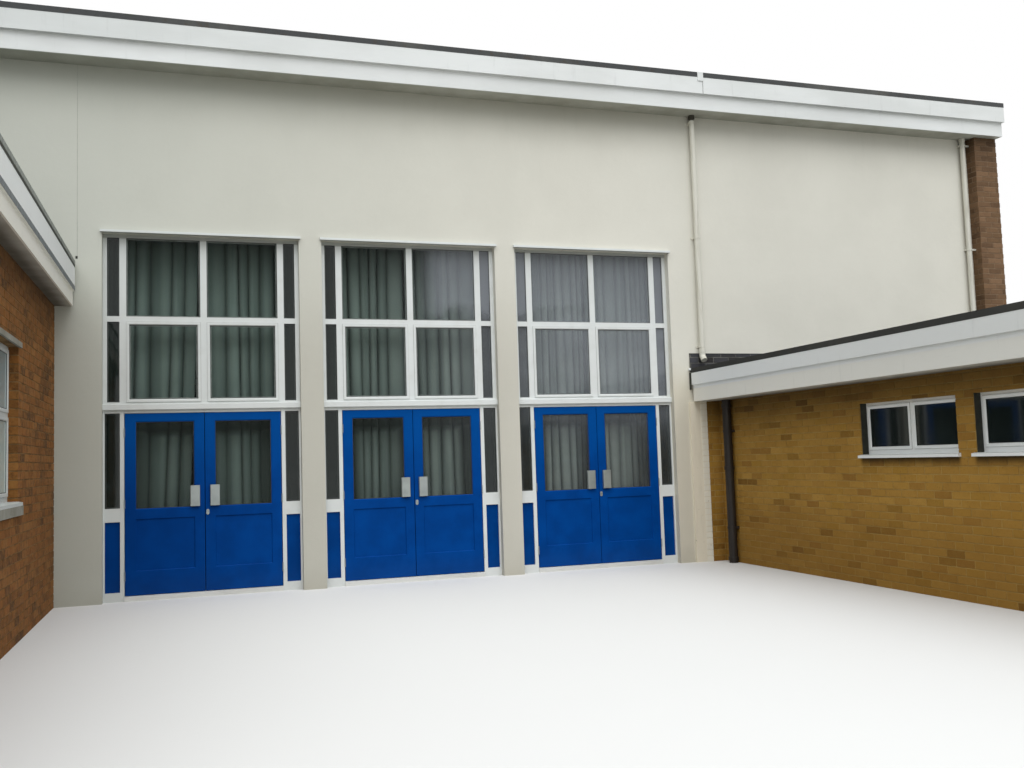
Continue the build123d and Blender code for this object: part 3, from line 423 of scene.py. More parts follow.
def gloss_white():
    """White paint on window timber, with brush lines and grime, and painted light and shade."""
    f = Finish("white_frame", 0.3)
    x, _, z = f.axes()
    brush = f.noise(0.004, 3, 0.6, stretch=(1, 1, 0.08))
    grime = f.noise(0.2, 5, 0.6)
    f.paint(f.between(grime, 0.45, 0.8) * 0.4, shade(222, 226, 225), shade(198, 201, 196))
    # painted shade: the frames darker towards the left wing
    painted_shade_towards_left = f.between(x, 0.5, -4.0)
    f.stain(painted_shade_towards_left * 0.35, shade(176, 180, 174))
    # painted light: the right wing's frames lighter
    right_wing = f.between(x, 3.7, 3.8)
    f.stain(right_wing, shade(248, 251, 250))
    # painted shadow of the head drip on the frame head
    painted_shadow_under_drip = f.between(z, 3.985, 4.008) * f.between(z, 4.042, 4.040)
    f.stain(painted_shadow_under_drip * 0.6, shade(120, 123, 114))
    return f.finished(0.3 + grime * 0.25, brush, 0.0005, 0.4)


def sill_metal():
    """The thresholds' pale bar, scuffed by shoes."""
    f = Finish("threshold", Metallic=0.2)
    wear = f.noise(0.09, 4, 0.6, stretch=(0.2, 1, 1))
    f.paint(f.between(wear, 0.45, 0.85) * 0.6, shade(220, 221, 217), shade(186, 185, 178))
    return f.finished(0.35 + wear * 0.3, wear, 0.001, 0.4)


def blue_paint(name, light, dark):
    """Blue paint: brushed, dull where hands and boots reach, dusty near the ground, and lighter higher up by
    painted light.
    """
    f = Finish(name, 0.04)
    x, _, z = f.axes()
    brush = f.noise(0.004, 3, 0.6, stretch=(1, 1, 0.06))
    clouds = f.noise(0.25, 4)
    dust = f.between(z + f.noise(0.12, 4) * 0.25, 0.5, 0.15)
    f.paint(f.between(clouds, 0.3, 0.7), light, dark)
    bay_1 = f.between(x, -1.0, -3.2)
    f.stain(bay_1 * 0.35, shade(0, 42, 104))
    # painted light: the doors a brighter blue higher up
    upper = f.between(z, 1.1, 1.9)
    f.stain(upper * 0.5, shade(0, 82, 158))
    f.stain(dust * 0.15, shade(40, 66, 110))
    chips = f.between(f.noise(0.016, 5, 0.7), 0.68, 0.74)
    f.stain(chips * 0.3, shade(30, 80, 150))
    return f.finished(0.34 + clouds * 0.2 + dust * 0.2, brush, 0.0006, 0.5)


def brushed_steel():
    """Dull steel of the doors' pulls, locks and hinges, brushed upright."""
    f = Finish("steel", Metallic=0.6)
    lines = f.noise(0.0012, 3, 0.6, stretch=(1, 1, 0.05))
    marks = f.noise(0.09, 3)
    f.paint(f.between(marks, 0.35, 0.8), shade(160, 167, 165), shade(146, 153, 151))
    return f.finished(0.32 + lines * 0.18, lines, 0.0002, 0.4)


NO_JOINT = 99  # far above the building


def plastic_pipe(name, light, dark, joint_above=NO_JOINT):
    """Painted pipe; above joint_above, in metres, the court pipe is the dark rubber of its upper joint."""
    f = Finish(name, 0.3)
    x, _, z = f.axes()
    runs = f.noise(0.03, 4, 0.6, stretch=(1, 1, 0.08))
    dust = f.noise(0.2, 4)
    f.paint(f.between(runs, 0.45, 0.8), light, dark)
    rubber = f.between(z + dust * 0.01, joint_above, joint_above + 0.004) * f.between(x, 6.5, 6.0)
    f.stain(rubber, shade(66, 63, 54))
    return f.finished(0.35 + dust * 0.25, runs, 0.0005, 0.4)


WING_GLASS_FROM = 3.7
SIDE_LIGHT_FROM, BAY_SPACING = 0.87, 2.385


def clear_pane():
    """Glass, clear in the middle of each bay, with a painted sky reflection on the middle and right bays.
    A dark veil of painted shade backs the side lights, the wings and the back windows, and a painted sky
    reflection makes it pale in the left wing's windows on the court."""
    f = Finish("window_glass")
    x, y, z = f.axes()
    # painted shade: the dark rooms behind the wings' windows, the back windows and the side lights
    in_wing = f.between(abs(x), WING_GLASS_FROM - 0.1, WING_GLASS_FROM)
    at_back = f.between(y, BACK_FACE - 1, BACK_FACE - 0.5)
    dark = f.larger(in_wing, at_back)
    side = f.between(f.from_nearest(x, BAY_SPACING), SIDE_LIGHT_FROM - 0.01, SIDE_LIGHT_FROM)
    # smears on the glass; the same noise shapes the painted sky reflection
    smears_and_painted_reflection = f.noise(0.35, 4, 0.6)
    # painted sky reflection: paler in the middle and right bays, and high up in their upper panes
    painted_sky_reflection = f.between(x, -0.9, 2.6) * (0.35 + 0.65 * f.between(z, 1.3, 2.6)) * (0.7 + smears_and_painted_reflection * 0.6)
    upper = f.between(x, 0.0, 0.4) * f.between(z + smears_and_painted_reflection * 0.5, 3.2, 3.6)
    painted_sky_reflection = f.larger(painted_sky_reflection, upper)
    tint = f.mix(painted_sky_reflection, shade(30, 38, 35), shade(158, 163, 172))
    tint = f.mix(side * (1 - painted_sky_reflection * 0.75), tint, shade(29, 37, 34))
    # painted sky reflection: the left wing's windows on the court pale, paler lower down
    painted_reflection_left_court = f.between(x, -3.6, -3.7) * f.between(x, -4.4, -4.3)
    pale = f.mix(f.between(z, 2.3, 1.4), shade(156, 176, 180), shade(200, 220, 216))
    f.paint(dark, tint, f.mix(painted_reflection_left_court, shade(28, 35, 34), pale))
    f.feed("Roughness", 0.02 + f.between(smears_and_painted_reflection, 0.4, 0.8) * 0.06 + dark * 0.02)
    f.bump(f.noise(0.6, 2), 0.002, 0.1)
    # how much the painted shade veil hides what is behind the glass
    painted_shade_veil = f.larger(dark * 0.95, side * 0.62)
    edge_on = f.node("LayerWeight", None, {"Blend": 0.12}).out("Fresnel")
    coat = 0.08 + edge_on * 0.5 + painted_sky_reflection * 0.22
    solid = f.larger(painted_shade_veil, coat)
    clear = f.node("BsdfTransparent", None, {"Color": (0.95, 0.98, 0.96, 1)})
    body = Wire(f, f.shader.outputs[0])
    mixed = f.node("MixShader", None, {0: solid, 1: clear, 2: body})
    f.join(mixed, f.tree.nodes["Material Output"].inputs["Surface"])
    return f.material


CURTAIN_MIDDLE = 0.223


def curtain_weave():
    """Grey-green lining cloth: a plain weave, with painted shade in the folds and at the top, a painted
    shadow of the doors' stiles and rails, and a painted reflection that makes it paler towards the right.
    """
    f = Finish("curtain_cloth", 0.1, Sheen_Weight=0.2)
    x, y, z = f.axes()
    warp = f.noise(0.0016, 1, 0.5, stretch=(1, 1, 0.1))
    weft = f.noise(0.0016, 1, 0.5, stretch=(0.1, 0.1, 1))
    fade = f.noise(0.5, 3)
    # painted reflection: the cloth paler towards the right
    painted_reflection_rightward = f.between(x, -1.6, 3.2)
    near = f.mix(painted_reflection_rightward, shade(142, 155, 152), shade(220, 223, 222))
    deep = f.mix(painted_reflection_rightward, shade(32, 39, 37), shade(92, 98, 97))
    panels = f.noise(0.13, 2, 0.4, stretch=(1, 0, 0.02))
    near = f.mix(f.between(panels, 0.42, 0.62) * 0.45, near, shade(84, 96, 94))
    # painted shade: dark deep in the folds, light on the ridges
    painted_shade_in_folds = f.between(y, CURTAIN_MIDDLE - 0.03, CURTAIN_MIDDLE + 0.034)
    f.paint(painted_shade_in_folds, near, deep)
    f.stain(f.between(fade, 0.3, 0.7) * 0.2, shade(84, 97, 94))
    f.stain(f.between(warp + weft, 0.8, 1.2) * 0.2, shade(74, 85, 81))
    # painted shade towards the top of the curtains, less on the right
    painted_shade_at_top = f.between(z, 3.0, 4.2) * (0.5 - 0.25 * painted_reflection_rightward)
    f.stain(painted_shade_at_top, shade(42, 50, 47))
    from_centre = f.from_nearest(x, BAY_SPACING)
    beside_stiles = f.between(from_centre, 0.18, 0.07) + f.between(from_centre, 0.57, 0.69)
    under_rail = f.between(z, 1.72, 1.88)
    behind_doors = f.between(z, 2.1, 2.0)
    shadow = behind_doors * f.larger(0.2 + beside_stiles * 0.5, under_rail * 0.85)
    f.stain(shadow, shade(34, 37, 34))
    return f.finished(0.95, warp + weft, 0.0006, 0.5)


def flat_paint(name, light, dark, roughness=0.6):
    """A plain coat for trims, gaskets and strips of painted shade, with faint clouds and dust."""
    f = Finish(name, 0.3)
    clouds = f.noise(0.05, 4)
    f.paint(f.between(clouds, 0.35, 0.75), light, dark)
    return f.finished(roughness - 0.1 + clouds * 0.2, clouds, 0.001, 0.3)


BUFF = [shade(*c) for c in ((118, 82, 28), (168, 127, 50), (176, 134, 60), (168, 126, 52), (182, 140, 66),
                            (162, 120, 48), (178, 136, 62), (172, 130, 56), (166, 124, 54), (174, 132, 60),
                            (164, 122, 52), (148, 106, 44))]
ORANGE = [shade(*c) for c in ((78, 54, 32), (132, 84, 38), (142, 92, 46), (118, 76, 36), (150, 102, 54),
                              (106, 70, 36))]
BROWN = [shade(*c) for c in ((92, 70, 50), (112, 86, 62), (122, 94, 68), (104, 80, 56), (128, 100, 74),
                             (86, 64, 44))]
SLATE = [shade(*c) for c in ((50, 48, 47), (62, 62, 64), (76, 77, 82), (56, 54, 52), (68, 69, 74))]
# Where each band of painted shade under a soffit starts and ends, and how dark it is
RIGHT_EAVES, LEFT_EAVES, HALL_EAVES = (1.60, 2.16, 0.6), (2.75, 3.35, 0.55), (5.2, 6.1, 0.45)

FINISHES = {
    "render": masonry_paint(),
    "yellow_brick": fired_brick("yellow_brick", BUFF, shade(124, 86, 32), shade(192, 156, 84), 0.15,
                                RIGHT_EAVES),
    "red_brick": fired_brick("red_brick", ORANGE, shade(62, 46, 26), shade(160, 112, 58), 0.6, LEFT_EAVES),
    "brown_brick": fired_brick("brown_brick", BROWN, shade(68, 50, 38), shade(142, 112, 84), 0.2,
                               HALL_EAVES),
    "painted_brick": painted_masonry("painted_brick", shade(236, 228, 208), shade(218, 210, 190)),
    "concrete": cast_concrete(),
    "roof_felt": mineral_felt(),
    "flashing": fired_brick("flashing", SLATE, shade(44, 40, 40), shade(96, 98, 106)),
    "white_board": weathered_board(),
    "white_frame": gloss_white(),
    "threshold": sill_metal(),
    "blue_panel": blue_paint("blue_panel", shade(0, 64, 136), shade(0, 56, 122)),
    "door_blue": blue_paint("door_blue", shade(0, 68, 146), shade(0, 60, 132)),
    "window_glass": clear_pane(),
    "steel": brushed_steel(),
    "curtain_cloth": curtain_weave(),
    "cream_pipe": plastic_pipe("cream_pipe", shade(216, 214, 202), shade(186, 183, 168), joint_above=5.84),
    "dark_pipe": plastic_pipe("dark_pipe", shade(42, 37, 33), shade(60, 54, 46)),
}
JOINTS = {
    "yellow_brick": mortar("buff_mortar", shade(188, 158, 94), shade(158, 128, 72), RIGHT_EAVES),
    "red_brick": mortar("grey_mortar", shade(150, 118, 78), shade(98, 76, 48), LEFT_EAVES),
    "brown_brick": mortar("brown_mortar", shade(150, 128, 104), shade(116, 96, 76), HALL_EAVES),
    "flashing": mortar("slate_mortar", shade(132, 132, 126), shade(84, 82, 78)),
}
WHITE_PAINT = painted_masonry("white_painted_brick", shade(240, 235, 219), shade(223, 218, 202))
SOFFITS = {"wing_soffits": soffit_board(), "hall_soffits": hall_soffit_board()}
TRIM_GREY = flat_paint("trim_grey", shade(150, 154, 148), shade(122, 126, 122))
BAND_GREY = flat_paint("band_grey", shade(122, 128, 130), shade(104, 108, 112))
JOINT_SHADE = flat_paint("joint_shade", shade(172, 174, 164), shade(150, 153, 144))
# a dark tone for joint lines, and for painted shade in gaps and reveals
DARK_JOINT_AND_SHADE = flat_paint("dark_joint_and_shade", shade(44, 46, 40), shade(58, 58, 50))
RUBBER = flat_paint("gasket_rubber", shade(40, 42, 42), shade(60, 62, 62))
# painted shade in the gap round each sash
SASH_GAP_SHADE = flat_paint("sash_gap_shade", shade(172, 174, 171), shade(154, 156, 153))
SPACER = flat_paint("spacer_bar", shade(150, 154, 152), shade(120, 124, 122), 0.4)


def finish_frame():
    """Every CAD node gets the finish of its slot. Brick walls get mortar, which shows between the bricks."""
    for name, node in NODES.items():
        slot = SLOTS[name]
        node.data.materials.clear()
        node.data.materials.append(SOFFITS.get(name) or JOINTS.get(slot, FINISHES[slot]))


# Modelling by hand in edit mode

def only(piece):
    bpy.ops.object.select_all(action="DESELECT")
    piece.select_set(True)
    bpy.context.view_layer.objects.active = piece


def edit_all(piece):
    only(piece)
    bpy.ops.object.mode_set(mode="EDIT")
    bpy.ops.mesh.select_all(action="SELECT")


def leave_edit_mode():
    bpy.ops.object.mode_set(mode="OBJECT")


def named(piece, name):
    piece.name = piece.data.name = name
    return piece


def block(name, low, high):
    """A box between two corners, its place in its mesh."""
    bpy.ops.mesh.primitive_cube_add(size=1, location=[(a + b) / 2 for a, b in zip(low, high)])
    piece = bpy.context.object
    piece.scale = [b - a for a, b in zip(low, high)]
    bpy.ops.object.transform_apply()
    return named(piece, name)


def pick_faces(piece, wanted):
    """Goes into edit mode with only the faces selected that wanted says yes to."""
    bpy.ops.object.mode_set(mode="EDIT")
    bpy.ops.mesh.select_mode(type="FACE")
    bpy.ops.mesh.select_all(action="DESELECT")
    leave_edit_mode()
    for face in piece.data.polygons:
        face.select = wanted(face)
    bpy.ops.object.mode_set(mode="EDIT")


def modify(piece, kind, **settings):
    only(piece)
    modifier = piece.modifiers.new(kind.lower(), kind)
    for name, value in settings.items():
        setattr(modifier, name, value)
    bpy.ops.object.modifier_apply(modifier=modifier.name)


def repeat(piece, count, step):
    """An array of count copies, each a step on from the last."""
    if count > 1:
        modify(piece, "ARRAY", count=count, use_relative_offset=False, use_constant_offset=True,
               constant_offset_displace=step)


def eased(piece, amount, segments=2):
    """Takes the sharpness off every edge."""
    edit_all(piece)
    bpy.ops.mesh.bevel(offset=amount, segments=segments, affect="EDGES")
    leave_edit_mode()
    return piece


def join(pieces, name):
    bpy.ops.object.select_all(action="DESELECT")
    for piece in pieces:
        piece.select_set(True)
    bpy.context.view_layer.objects.active = pieces[0]
    if len(pieces) > 1:
        bpy.ops.object.join()
    return named(pieces[0], name)


# The four ways a face can look: its turn from -y in degrees, the sign of world x or y to the right as
# it is looked at, and the sign of world x or y from the face into the wall

TURNS = {"-y": 0, "+x": 90, "+y": 180, "-x": -90}
RIGHTWARD = {"-y": 1, "+x": 1, "+y": -1, "-x": -1}
INWARD = {"-y": 1, "+x": -1, "+y": -1, "-x": 1}


def faced(piece, facing, plane):
    """Turns a piece that was made on y = 0 to look to -y, and puts it on the plane where it belongs."""
    only(piece)
    piece.rotation_euler = (0, 0, math.radians(TURNS[facing]))
    piece.location = (plane, 0, 0) if facing in ("-x", "+x") else (0, plane, 0)
    bpy.ops.object.transform_apply()
    return piece


def along(facing, spans):
    """World x or y spans as spans to the right for someone who looks at a face."""
    sign = RIGHTWARD[facing]
    return [tuple(sorted((sign * a, sign * b))) for a, b in spans]


def fitted(piece, slot, body="building", material=None):
    """Gives a piece its material, the finish of its slot unless another is given, and lets it ride on a
    body.
    """
    piece.data.materials.clear()
    piece.data.materials.append(material or FINISHES[slot])
    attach(piece, body)
    return piece


# Brickwork: one brick is modelled, laid in stretcher bond and cut at the openings

BRICK_LENGTH, BRICK_HEIGHT, JOINT = 0.215, 0.0662, 0.010
PITCH_ALONG, COURSE = BRICK_LENGTH + JOINT, BRICK_HEIGHT + JOINT
PROUD, BURIED, ARRIS, UNEVEN = 0.004, 0.002, 0.0018, 0.0009
HOLE_DEPTH = 0.1


def brick():
    """The front of one brick, its arrises eased, with a little of it inside the wall."""
    piece = block("brick", (0, -PROUD + ARRIS, 0), (BRICK_LENGTH, BURIED, BRICK_HEIGHT))
    pick_faces(piece, lambda face: face.normal.y < -0.5)
    bpy.ops.mesh.inset(thickness=ARRIS, depth=ARRIS)
    leave_edit_mode()
    return piece


def brickwork(facing, plane, start, end, low, high, openings=(), bond=0.0, seed=1):
    """Bricks on one wall face. start, end and openings run to the right as the wall is looked at.
    An opening is its left, right, bottom and top. One brick of the lowest course starts at bond."""
    piece = brick()
    first = math.floor((start - bond) / PITCH_ALONG) - 1
    row = math.floor(low / COURSE)
    piece.location = (bond + first * PITCH_ALONG, 0, row * COURSE)
    only(piece)
    bpy.ops.object.transform_apply()
    shift = PITCH_ALONG / 2 if row % 2 == 0 else -PITCH_ALONG / 2
    repeat(piece, 2, (shift, 0, COURSE))
    repeat(piece, math.ceil((high - row * COURSE) / COURSE / 2), (0, 0, COURSE * 2))
    repeat(piece, math.ceil((end - start) / PITCH_ALONG) + 3, (PITCH_ALONG, 0, 0))
    edit_all(piece)
    bpy.ops.transform.vertex_random(offset=UNEVEN, seed=seed)
    for corner, outward in (((start, 0, 0), (-1, 0, 0)), ((end, 0, 0), (1, 0, 0)),
                            ((0, 0, low), (0, 0, -1)), ((0, 0, high), (0, 0, 1))):
        bpy.ops.mesh.select_all(action="SELECT")
        bpy.ops.mesh.bisect(plane_co=corner, plane_no=outward, use_fill=True, clear_outer=True)
    leave_edit_mode()
    if openings:
        hole = join([block("hole", (left, -HOLE_DEPTH, bottom), (right, HOLE_DEPTH, top))
                     for left, right, bottom, top in openings], "hole")
        modify(piece, "BOOLEAN", object=hole, operation="DIFFERENCE", solver="FAST")
        bpy.data.objects.remove(hole)
    return faced(piece, facing, plane)


def reveal_shade_strips(name, facing, plane, spans, low, high):
    """Dark strips of painted shade on both sides of each opening in a wall, from just inside its face."""
    # each board is a strip of painted shade
    boards = []
    x0, x1 = sorted((plane + INWARD[facing] * SHADE_STRIP_FROM, plane + INWARD[facing] * REVEAL))
    for near, far in spans:
        for y0, y1 in ((near, near + SHADE_STRIP), (far - SHADE_STRIP, far)):
            boards.append(eased(block("reveal_shade_strip", (x0, y0, low), (x1, y1, high)), 0.0015))
    fitted(join(boards, name), "dark_pipe", material=DARK_JOINT_AND_SHADE)


def reveals(facing, plane, spans, low, high):
    """The brick returns at both sides of each opening, as deep as the frame is set back."""
    ends = (plane - INWARD[facing] * PROUD, plane + INWARD[facing] * REVEAL)
    pieces = []
    for near, far in spans:
        for side, at in (("+y", near), ("-y", far)):
            (start, end), = along(side, [ends])
            pieces.append(brickwork(side, at, start, end, low, high, bond=start - 0.006, seed=3))
    return pieces


def wing_walls(name, slot, court, outer, soffit, spans, opening, court_facing, outer_facing):
    """A wing's court wall, outer wall and end wall."""
    low, high = opening
    walls = []
    for label, facing, plane in (("court", court_facing, court), ("outer", outer_facing, outer)):
        (start, end), = along(facing, [(WING_END, FRONT_FACE if label == "court" else PIER_FRONT)])
        holes = [(a, b, low, high) for a, b in along(facing, spans)]
        pieces = [brickwork(facing, plane, start - PROUD, end, GROUND, soffit, holes)]
        if slot == "red_brick":
            pieces += reveals(facing, plane, spans, low, high)
        else:
            # the yellow brick wing's reveals get strips of painted shade
            reveal_shade_strips(f"{name}_{label}_reveals", facing, plane, spans, low + SILL_HEIGHT, high)
        walls.append(join(pieces, f"{name}_{label}_bricks"))
    start, end = sorted((court, outer))
    end_wall = brickwork("-y", WING_END, start + BURIED, end - BURIED, GROUND, soffit)
    walls.append(named(end_wall, f"{name}_end_bricks"))
    for wall in walls:
        fitted(wall, slot)


def gable_walls():
    """The hall's end walls, each with the face of its front and back piers."""
    for side, name, facing in ((-1, "left", "-x"), (1, "right", "+x")):
        (start, end), = along(facing, [(PIER_FRONT, PIER_BACK)])
        pieces = [brickwork(facing, side * HALF_LENGTH, start - PROUD, end + PROUD, GROUND, EAVES)]
        for across, plane in (("-y", PIER_FRONT), ("+y", PIER_BACK)):
            (a, b), = along(across, [(side * RENDER_END, side * HALF_LENGTH)])
            pieces.append(brickwork(across, plane, a + BURIED, b - BURIED, GROUND, EAVES, bond=a))
        inside = "+x" if facing == "-x" else "-x"
        for ends in ((PIER_FRONT, FRONT_FACE), (BACK_FACE, PIER_BACK)):
            (a, b), = along(inside, [ends])
            pieces.append(brickwork(inside, side * RENDER_END, a - PROUD, b + PROUD, GROUND, EAVES,
                                    bond=a - 0.02))
        fitted(join(pieces, f"hall_{name}_end_bricks"), "brown_brick")


# Beside the right wing: the pilaster's painted edge, the nib next to it and the upstand over the roof

EDGE_WIDTH, EDGE_BOND, NIB_END, NIB_BOND = 0.09, 0.1, 4.096, 3.86
UPSTAND_FACE, UPSTAND_START, UPSTAND_FOOT, UPSTAND_TOP, UPSTAND_BOND = -0.1825, 3.697, 2.466, 2.712, 3.60
CAP_LOW, CAP_HIGH = (3.694, -0.190, 2.704), (RENDER_END, -0.166, 2.714)


def brick_walls():
    wing_walls("right_wing", "yellow_brick", RIGHT_COURT, RIGHT_OUTER, RIGHT_SOFFIT, RIGHT_SPANS,
               RIGHT_OPENING, "-x", "+x")
    wing_walls("left_wing", "red_brick", LEFT_COURT, LEFT_OUTER, LEFT_SOFFIT, LEFT_SPANS, LEFT_OPENING,
               "+x", "-x")
    gable_walls()
    edge = brickwork("-y", PILASTER_FACE, PILASTER_END - EDGE_WIDTH, PILASTER_END, GROUND, RIGHT_SOFFIT,
                     bond=PILASTER_END - EDGE_BOND)
    fitted(named(edge, "court_pilaster_edge"), "painted_brick", material=WHITE_PAINT)
    nib = brickwork("-y", PILASTER_FACE, PILASTER_END + BURIED, NIB_END, GROUND, RIGHT_SOFFIT, bond=NIB_BOND)
    fitted(named(nib, "court_nib_bricks"), "yellow_brick")
    upstand = brickwork("-y", UPSTAND_FACE, UPSTAND_START, RENDER_END, UPSTAND_FOOT, UPSTAND_TOP,
                        bond=UPSTAND_BOND)
    fitted(named(upstand, "right_upstand_bricks"), "flashing")
    cap = block("right_upstand_cap", CAP_LOW, CAP_HIGH)
    fitted(eased(cap, 0.002), "flashing", material=FINISHES["roof_felt"])


# Curtains: six pleated sheets, one at each side of each bay, hung from the tracks

BAY_CENTRES = (-2.385, 0.0, 2.385)
CURTAIN_BOTTOM, CURTAIN_TOP = 0.078, 4.108
CURTAIN_OUTER = 1.150
CLOTH, FOLD_DEPTH, FOLD_STEPS, CLOTH_ROWS = 0.0016, 0.046, 20, 24
FOLDS = {1: 7, 2: 8, 3: 11}
EVENNESS = {1: 0.85, 2: 0.9, 3: 1.5}
DRAWN_BACK = {(1, -1): 0.16, (2, 1): 0.05}
MEETING = {(1, -1): 0.055, (1, 1): 0.030, (2, -1): 0.02, (2, 1): 0.012, (3, -1): 0.012, (3, 1): 0.012}


def curtain(number, side, name):
    """One sheet. u runs from 0 in the middle of the bay to 1 at its side, v from 0 at the hem to 1."""
    centre = BAY_CENTRES[number - 1]
    inner, folds = MEETING[number, side], FOLDS[number]
    width, height = CURTAIN_OUTER - inner, CURTAIN_TOP - CURTAIN_BOTTOM
    bpy.ops.mesh.primitive_grid_add(x_subdivisions=folds * FOLD_STEPS, y_subdivisions=CLOTH_ROWS, size=1)
    piece = bpy.context.object
    phase = number * 2.3 + side
    for vertex in piece.data.vertices:
        u, v = vertex.co.x + 0.5, vertex.co.y + 0.5
        sway = 0.42 * math.sin(6.1 * u + phase) + 0.24 * math.sin(13.3 * u + 1.2 * v + 2 * phase)
        angle = math.pi * (folds * u + EVENNESS[number] * sway * (1 - 0.3 * v))
        deep = FOLD_DEPTH * (1 - 0.45 * math.sin(9 * u + phase) ** 2) * (0.8 + 0.2 * math.cos(2 * v + phase))
        crease = abs(math.sin(angle)) ** 0.6
        drawn_back = DRAWN_BACK.get((number, side), 0) * (1 - v) ** 1.5 * (1 - u)
        x = centre + side * (inner + drawn_back + width * u)
        vertex.co = (x, CURTAIN_MIDDLE + deep * (1 - 2 * crease), CURTAIN_BOTTOM + height * v)
    modify(piece, "SOLIDIFY", thickness=CLOTH, offset=0)
    edit_all(piece)
    bpy.ops.mesh.normals_make_consistent(inside=False)
    leave_edit_mode()
    bpy.ops.object.shade_smooth()
    fitted(named(piece, name), "curtain_cloth")
    return piece


def hang_curtains():
    for number in (1, 2, 3):
        for side, label in ((-1, "left"), (1, "right")):
            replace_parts(curtain(number, side, f"bay_{number}_{label}_curtain"), "curtains")


# Glazing: a rubber gasket round the outer face of every pane, and the bar between its two sheets

GASKET, GASKET_OUT = 0.005, 0.003
SPACER_BAR, SPACER_INSET, SPACER_THICKNESS, SPACER_BACK = 0.008, 0.007, 0.004, 0.014
BOX_TRIANGLES = 12
WALL_ZONE = 0.3


def pane_boxes(node):
    """The box of each pane in a node that is made of plain boxes."""
    mesh = NODES[node].data
    boxes = []
    for first in range(0, len(mesh.polygons), BOX_TRIANGLES):
        faces = mesh.polygons[first:first + BOX_TRIANGLES]
        corners = [mesh.vertices[v].co for face in faces for v in face.vertices]
        boxes.append([[pick(c[axis] for c in corners) for axis in range(3)] for pick in (min, max)])
    return boxes


def picture_frame(across, up, width, height, bar, thickness, plane, facing):
    """A four-sided frame that faces that way, its back on a plane."""
    bpy.ops.mesh.primitive_plane_add(size=1, location=(across, 0, up), rotation=(math.pi / 2, 0, 0))
    piece = bpy.context.object
    piece.scale = (width, height, 1)
    bpy.ops.object.transform_apply()
    edit_all(piece)
    bpy.ops.mesh.inset(thickness=bar)
    bpy.ops.mesh.delete(type="FACE")
    bpy.ops.mesh.select_all(action="SELECT")
    bpy.ops.mesh.extrude_region_move(TRANSFORM_OT_translate={"value": (0, -thickness, 0)})
    bpy.ops.mesh.select_all(action="SELECT")
    bpy.ops.mesh.normals_make_consistent(inside=False)
    leave_edit_mode()
    return faced(piece, facing, plane)


def pane_facing(low, high):
    """Panes along x are in the hall's front or back; the others face the court or outwards from a wing."""
    middle = [(a + b) / 2 for a, b in zip(low, high)]
    if high[1] - low[1] < high[0] - low[0]:
        return "-y" if middle[1] < BACK_FACE / 2 else "+y"
    return "+x" if RIGHT_OUTER - WALL_ZONE < middle[0] or LEFT_OUTER + WALL_ZONE < middle[0] < 0 else "-x"


def around_pane(low, high, facing, inset, bar, thickness, depth):
    """A frame on one pane. depth is how far its back is behind the pane's outer face."""
    axis = 0 if facing in ("-y", "+y") else 1
    outer = (low if facing in ("-y", "-x") else high)[1 - axis]
    across, up = RIGHTWARD[facing] * (low[axis] + high[axis]) / 2, (low[2] + high[2]) / 2
    width, height = high[axis] - low[axis] - 2 * inset, high[2] - low[2] - 2 * inset
    return picture_frame(across, up, width, height, bar, thickness, outer + depth * INWARD[facing], facing)


def glaze():
    """Gaskets and spacers for the fixed panes, and a gasket on each door's own pane."""
    gaskets, spacers = [], []
    for low, high in pane_boxes("window_glass"):
        facing = pane_facing(low, high)
        gaskets.append(around_pane(low, high, facing, 0, GASKET, GASKET_OUT, 0))
        spacers.append(around_pane(low, high, facing, SPACER_INSET, SPACER_BAR, SPACER_THICKNESS,
                                   SPACER_BACK))
    fitted(join(gaskets, "window_gaskets"), "dark_pipe", material=RUBBER)
    fitted(join(spacers, "window_spacers"), "steel", material=SPACER)
    for number in (1, 2, 3):
        for hand in ("left", "right"):
            door = f"door_{number}_{hand}"
            (low, high), = pane_boxes(f"{door}_glass")
            gasket = around_pane(low, high, "-y", 0, GASKET, GASKET_OUT, 0)
            fitted(named(gasket, f"{door}_gasket"), "dark_pipe", door, RUBBER)


# Painted shade: the grey line of shade in the gap round each sash, on both sides of the hall and on the
# wings

SASH_LEFT, SASH_RIGHT, SASH_LOW, SASH_HIGH = 0.036, 0.818, 2.168, 3.062
GAP_LINE, GAP_LINE_OUT, FRAME_FRONT, BACK_FRAME = 0.0035, 0.0012, -0.0735, 8.1385
WING_SASH_RAIL, WING_FRAME_AHEAD = 0.031, 0.003


def shade_sash_gaps():
    """SASH_LEFT and SASH_RIGHT are a sash's sides from the middle of its bay."""
    pieces = []
    width, height = SASH_RIGHT - SASH_LEFT + 2 * GAP_LINE, SASH_HIGH - SASH_LOW + 2 * GAP_LINE
    middle, up = (SASH_LEFT + SASH_RIGHT) / 2, (SASH_LOW + SASH_HIGH) / 2
    for centre in BAY_CENTRES:
        for across in (centre - middle, centre + middle):
            for facing, plane in (("-y", FRAME_FRONT), ("+y", BACK_FRAME)):
                pieces.append(picture_frame(across, up, width, height, GAP_LINE, GAP_LINE_OUT, plane, facing))
    fitted(join(pieces, "sash_gap_shades"), "dark_pipe", material=SASH_GAP_SHADE)
    pieces = []
    for low, high in pane_boxes("window_glass"):
        facing = pane_facing(low, high)
        if facing in ("-x", "+x"):
            pieces.append(around_pane(low, high, facing, -WING_SASH_RAIL - GAP_LINE, GAP_LINE, GAP_LINE_OUT,
                                      -WING_FRAME_AHEAD))
    fitted(join(pieces, "wing_sash_gap_shades"), "dark_pipe", material=SASH_GAP_SHADE)


# Trims on the roof edges, and the laps of the felt

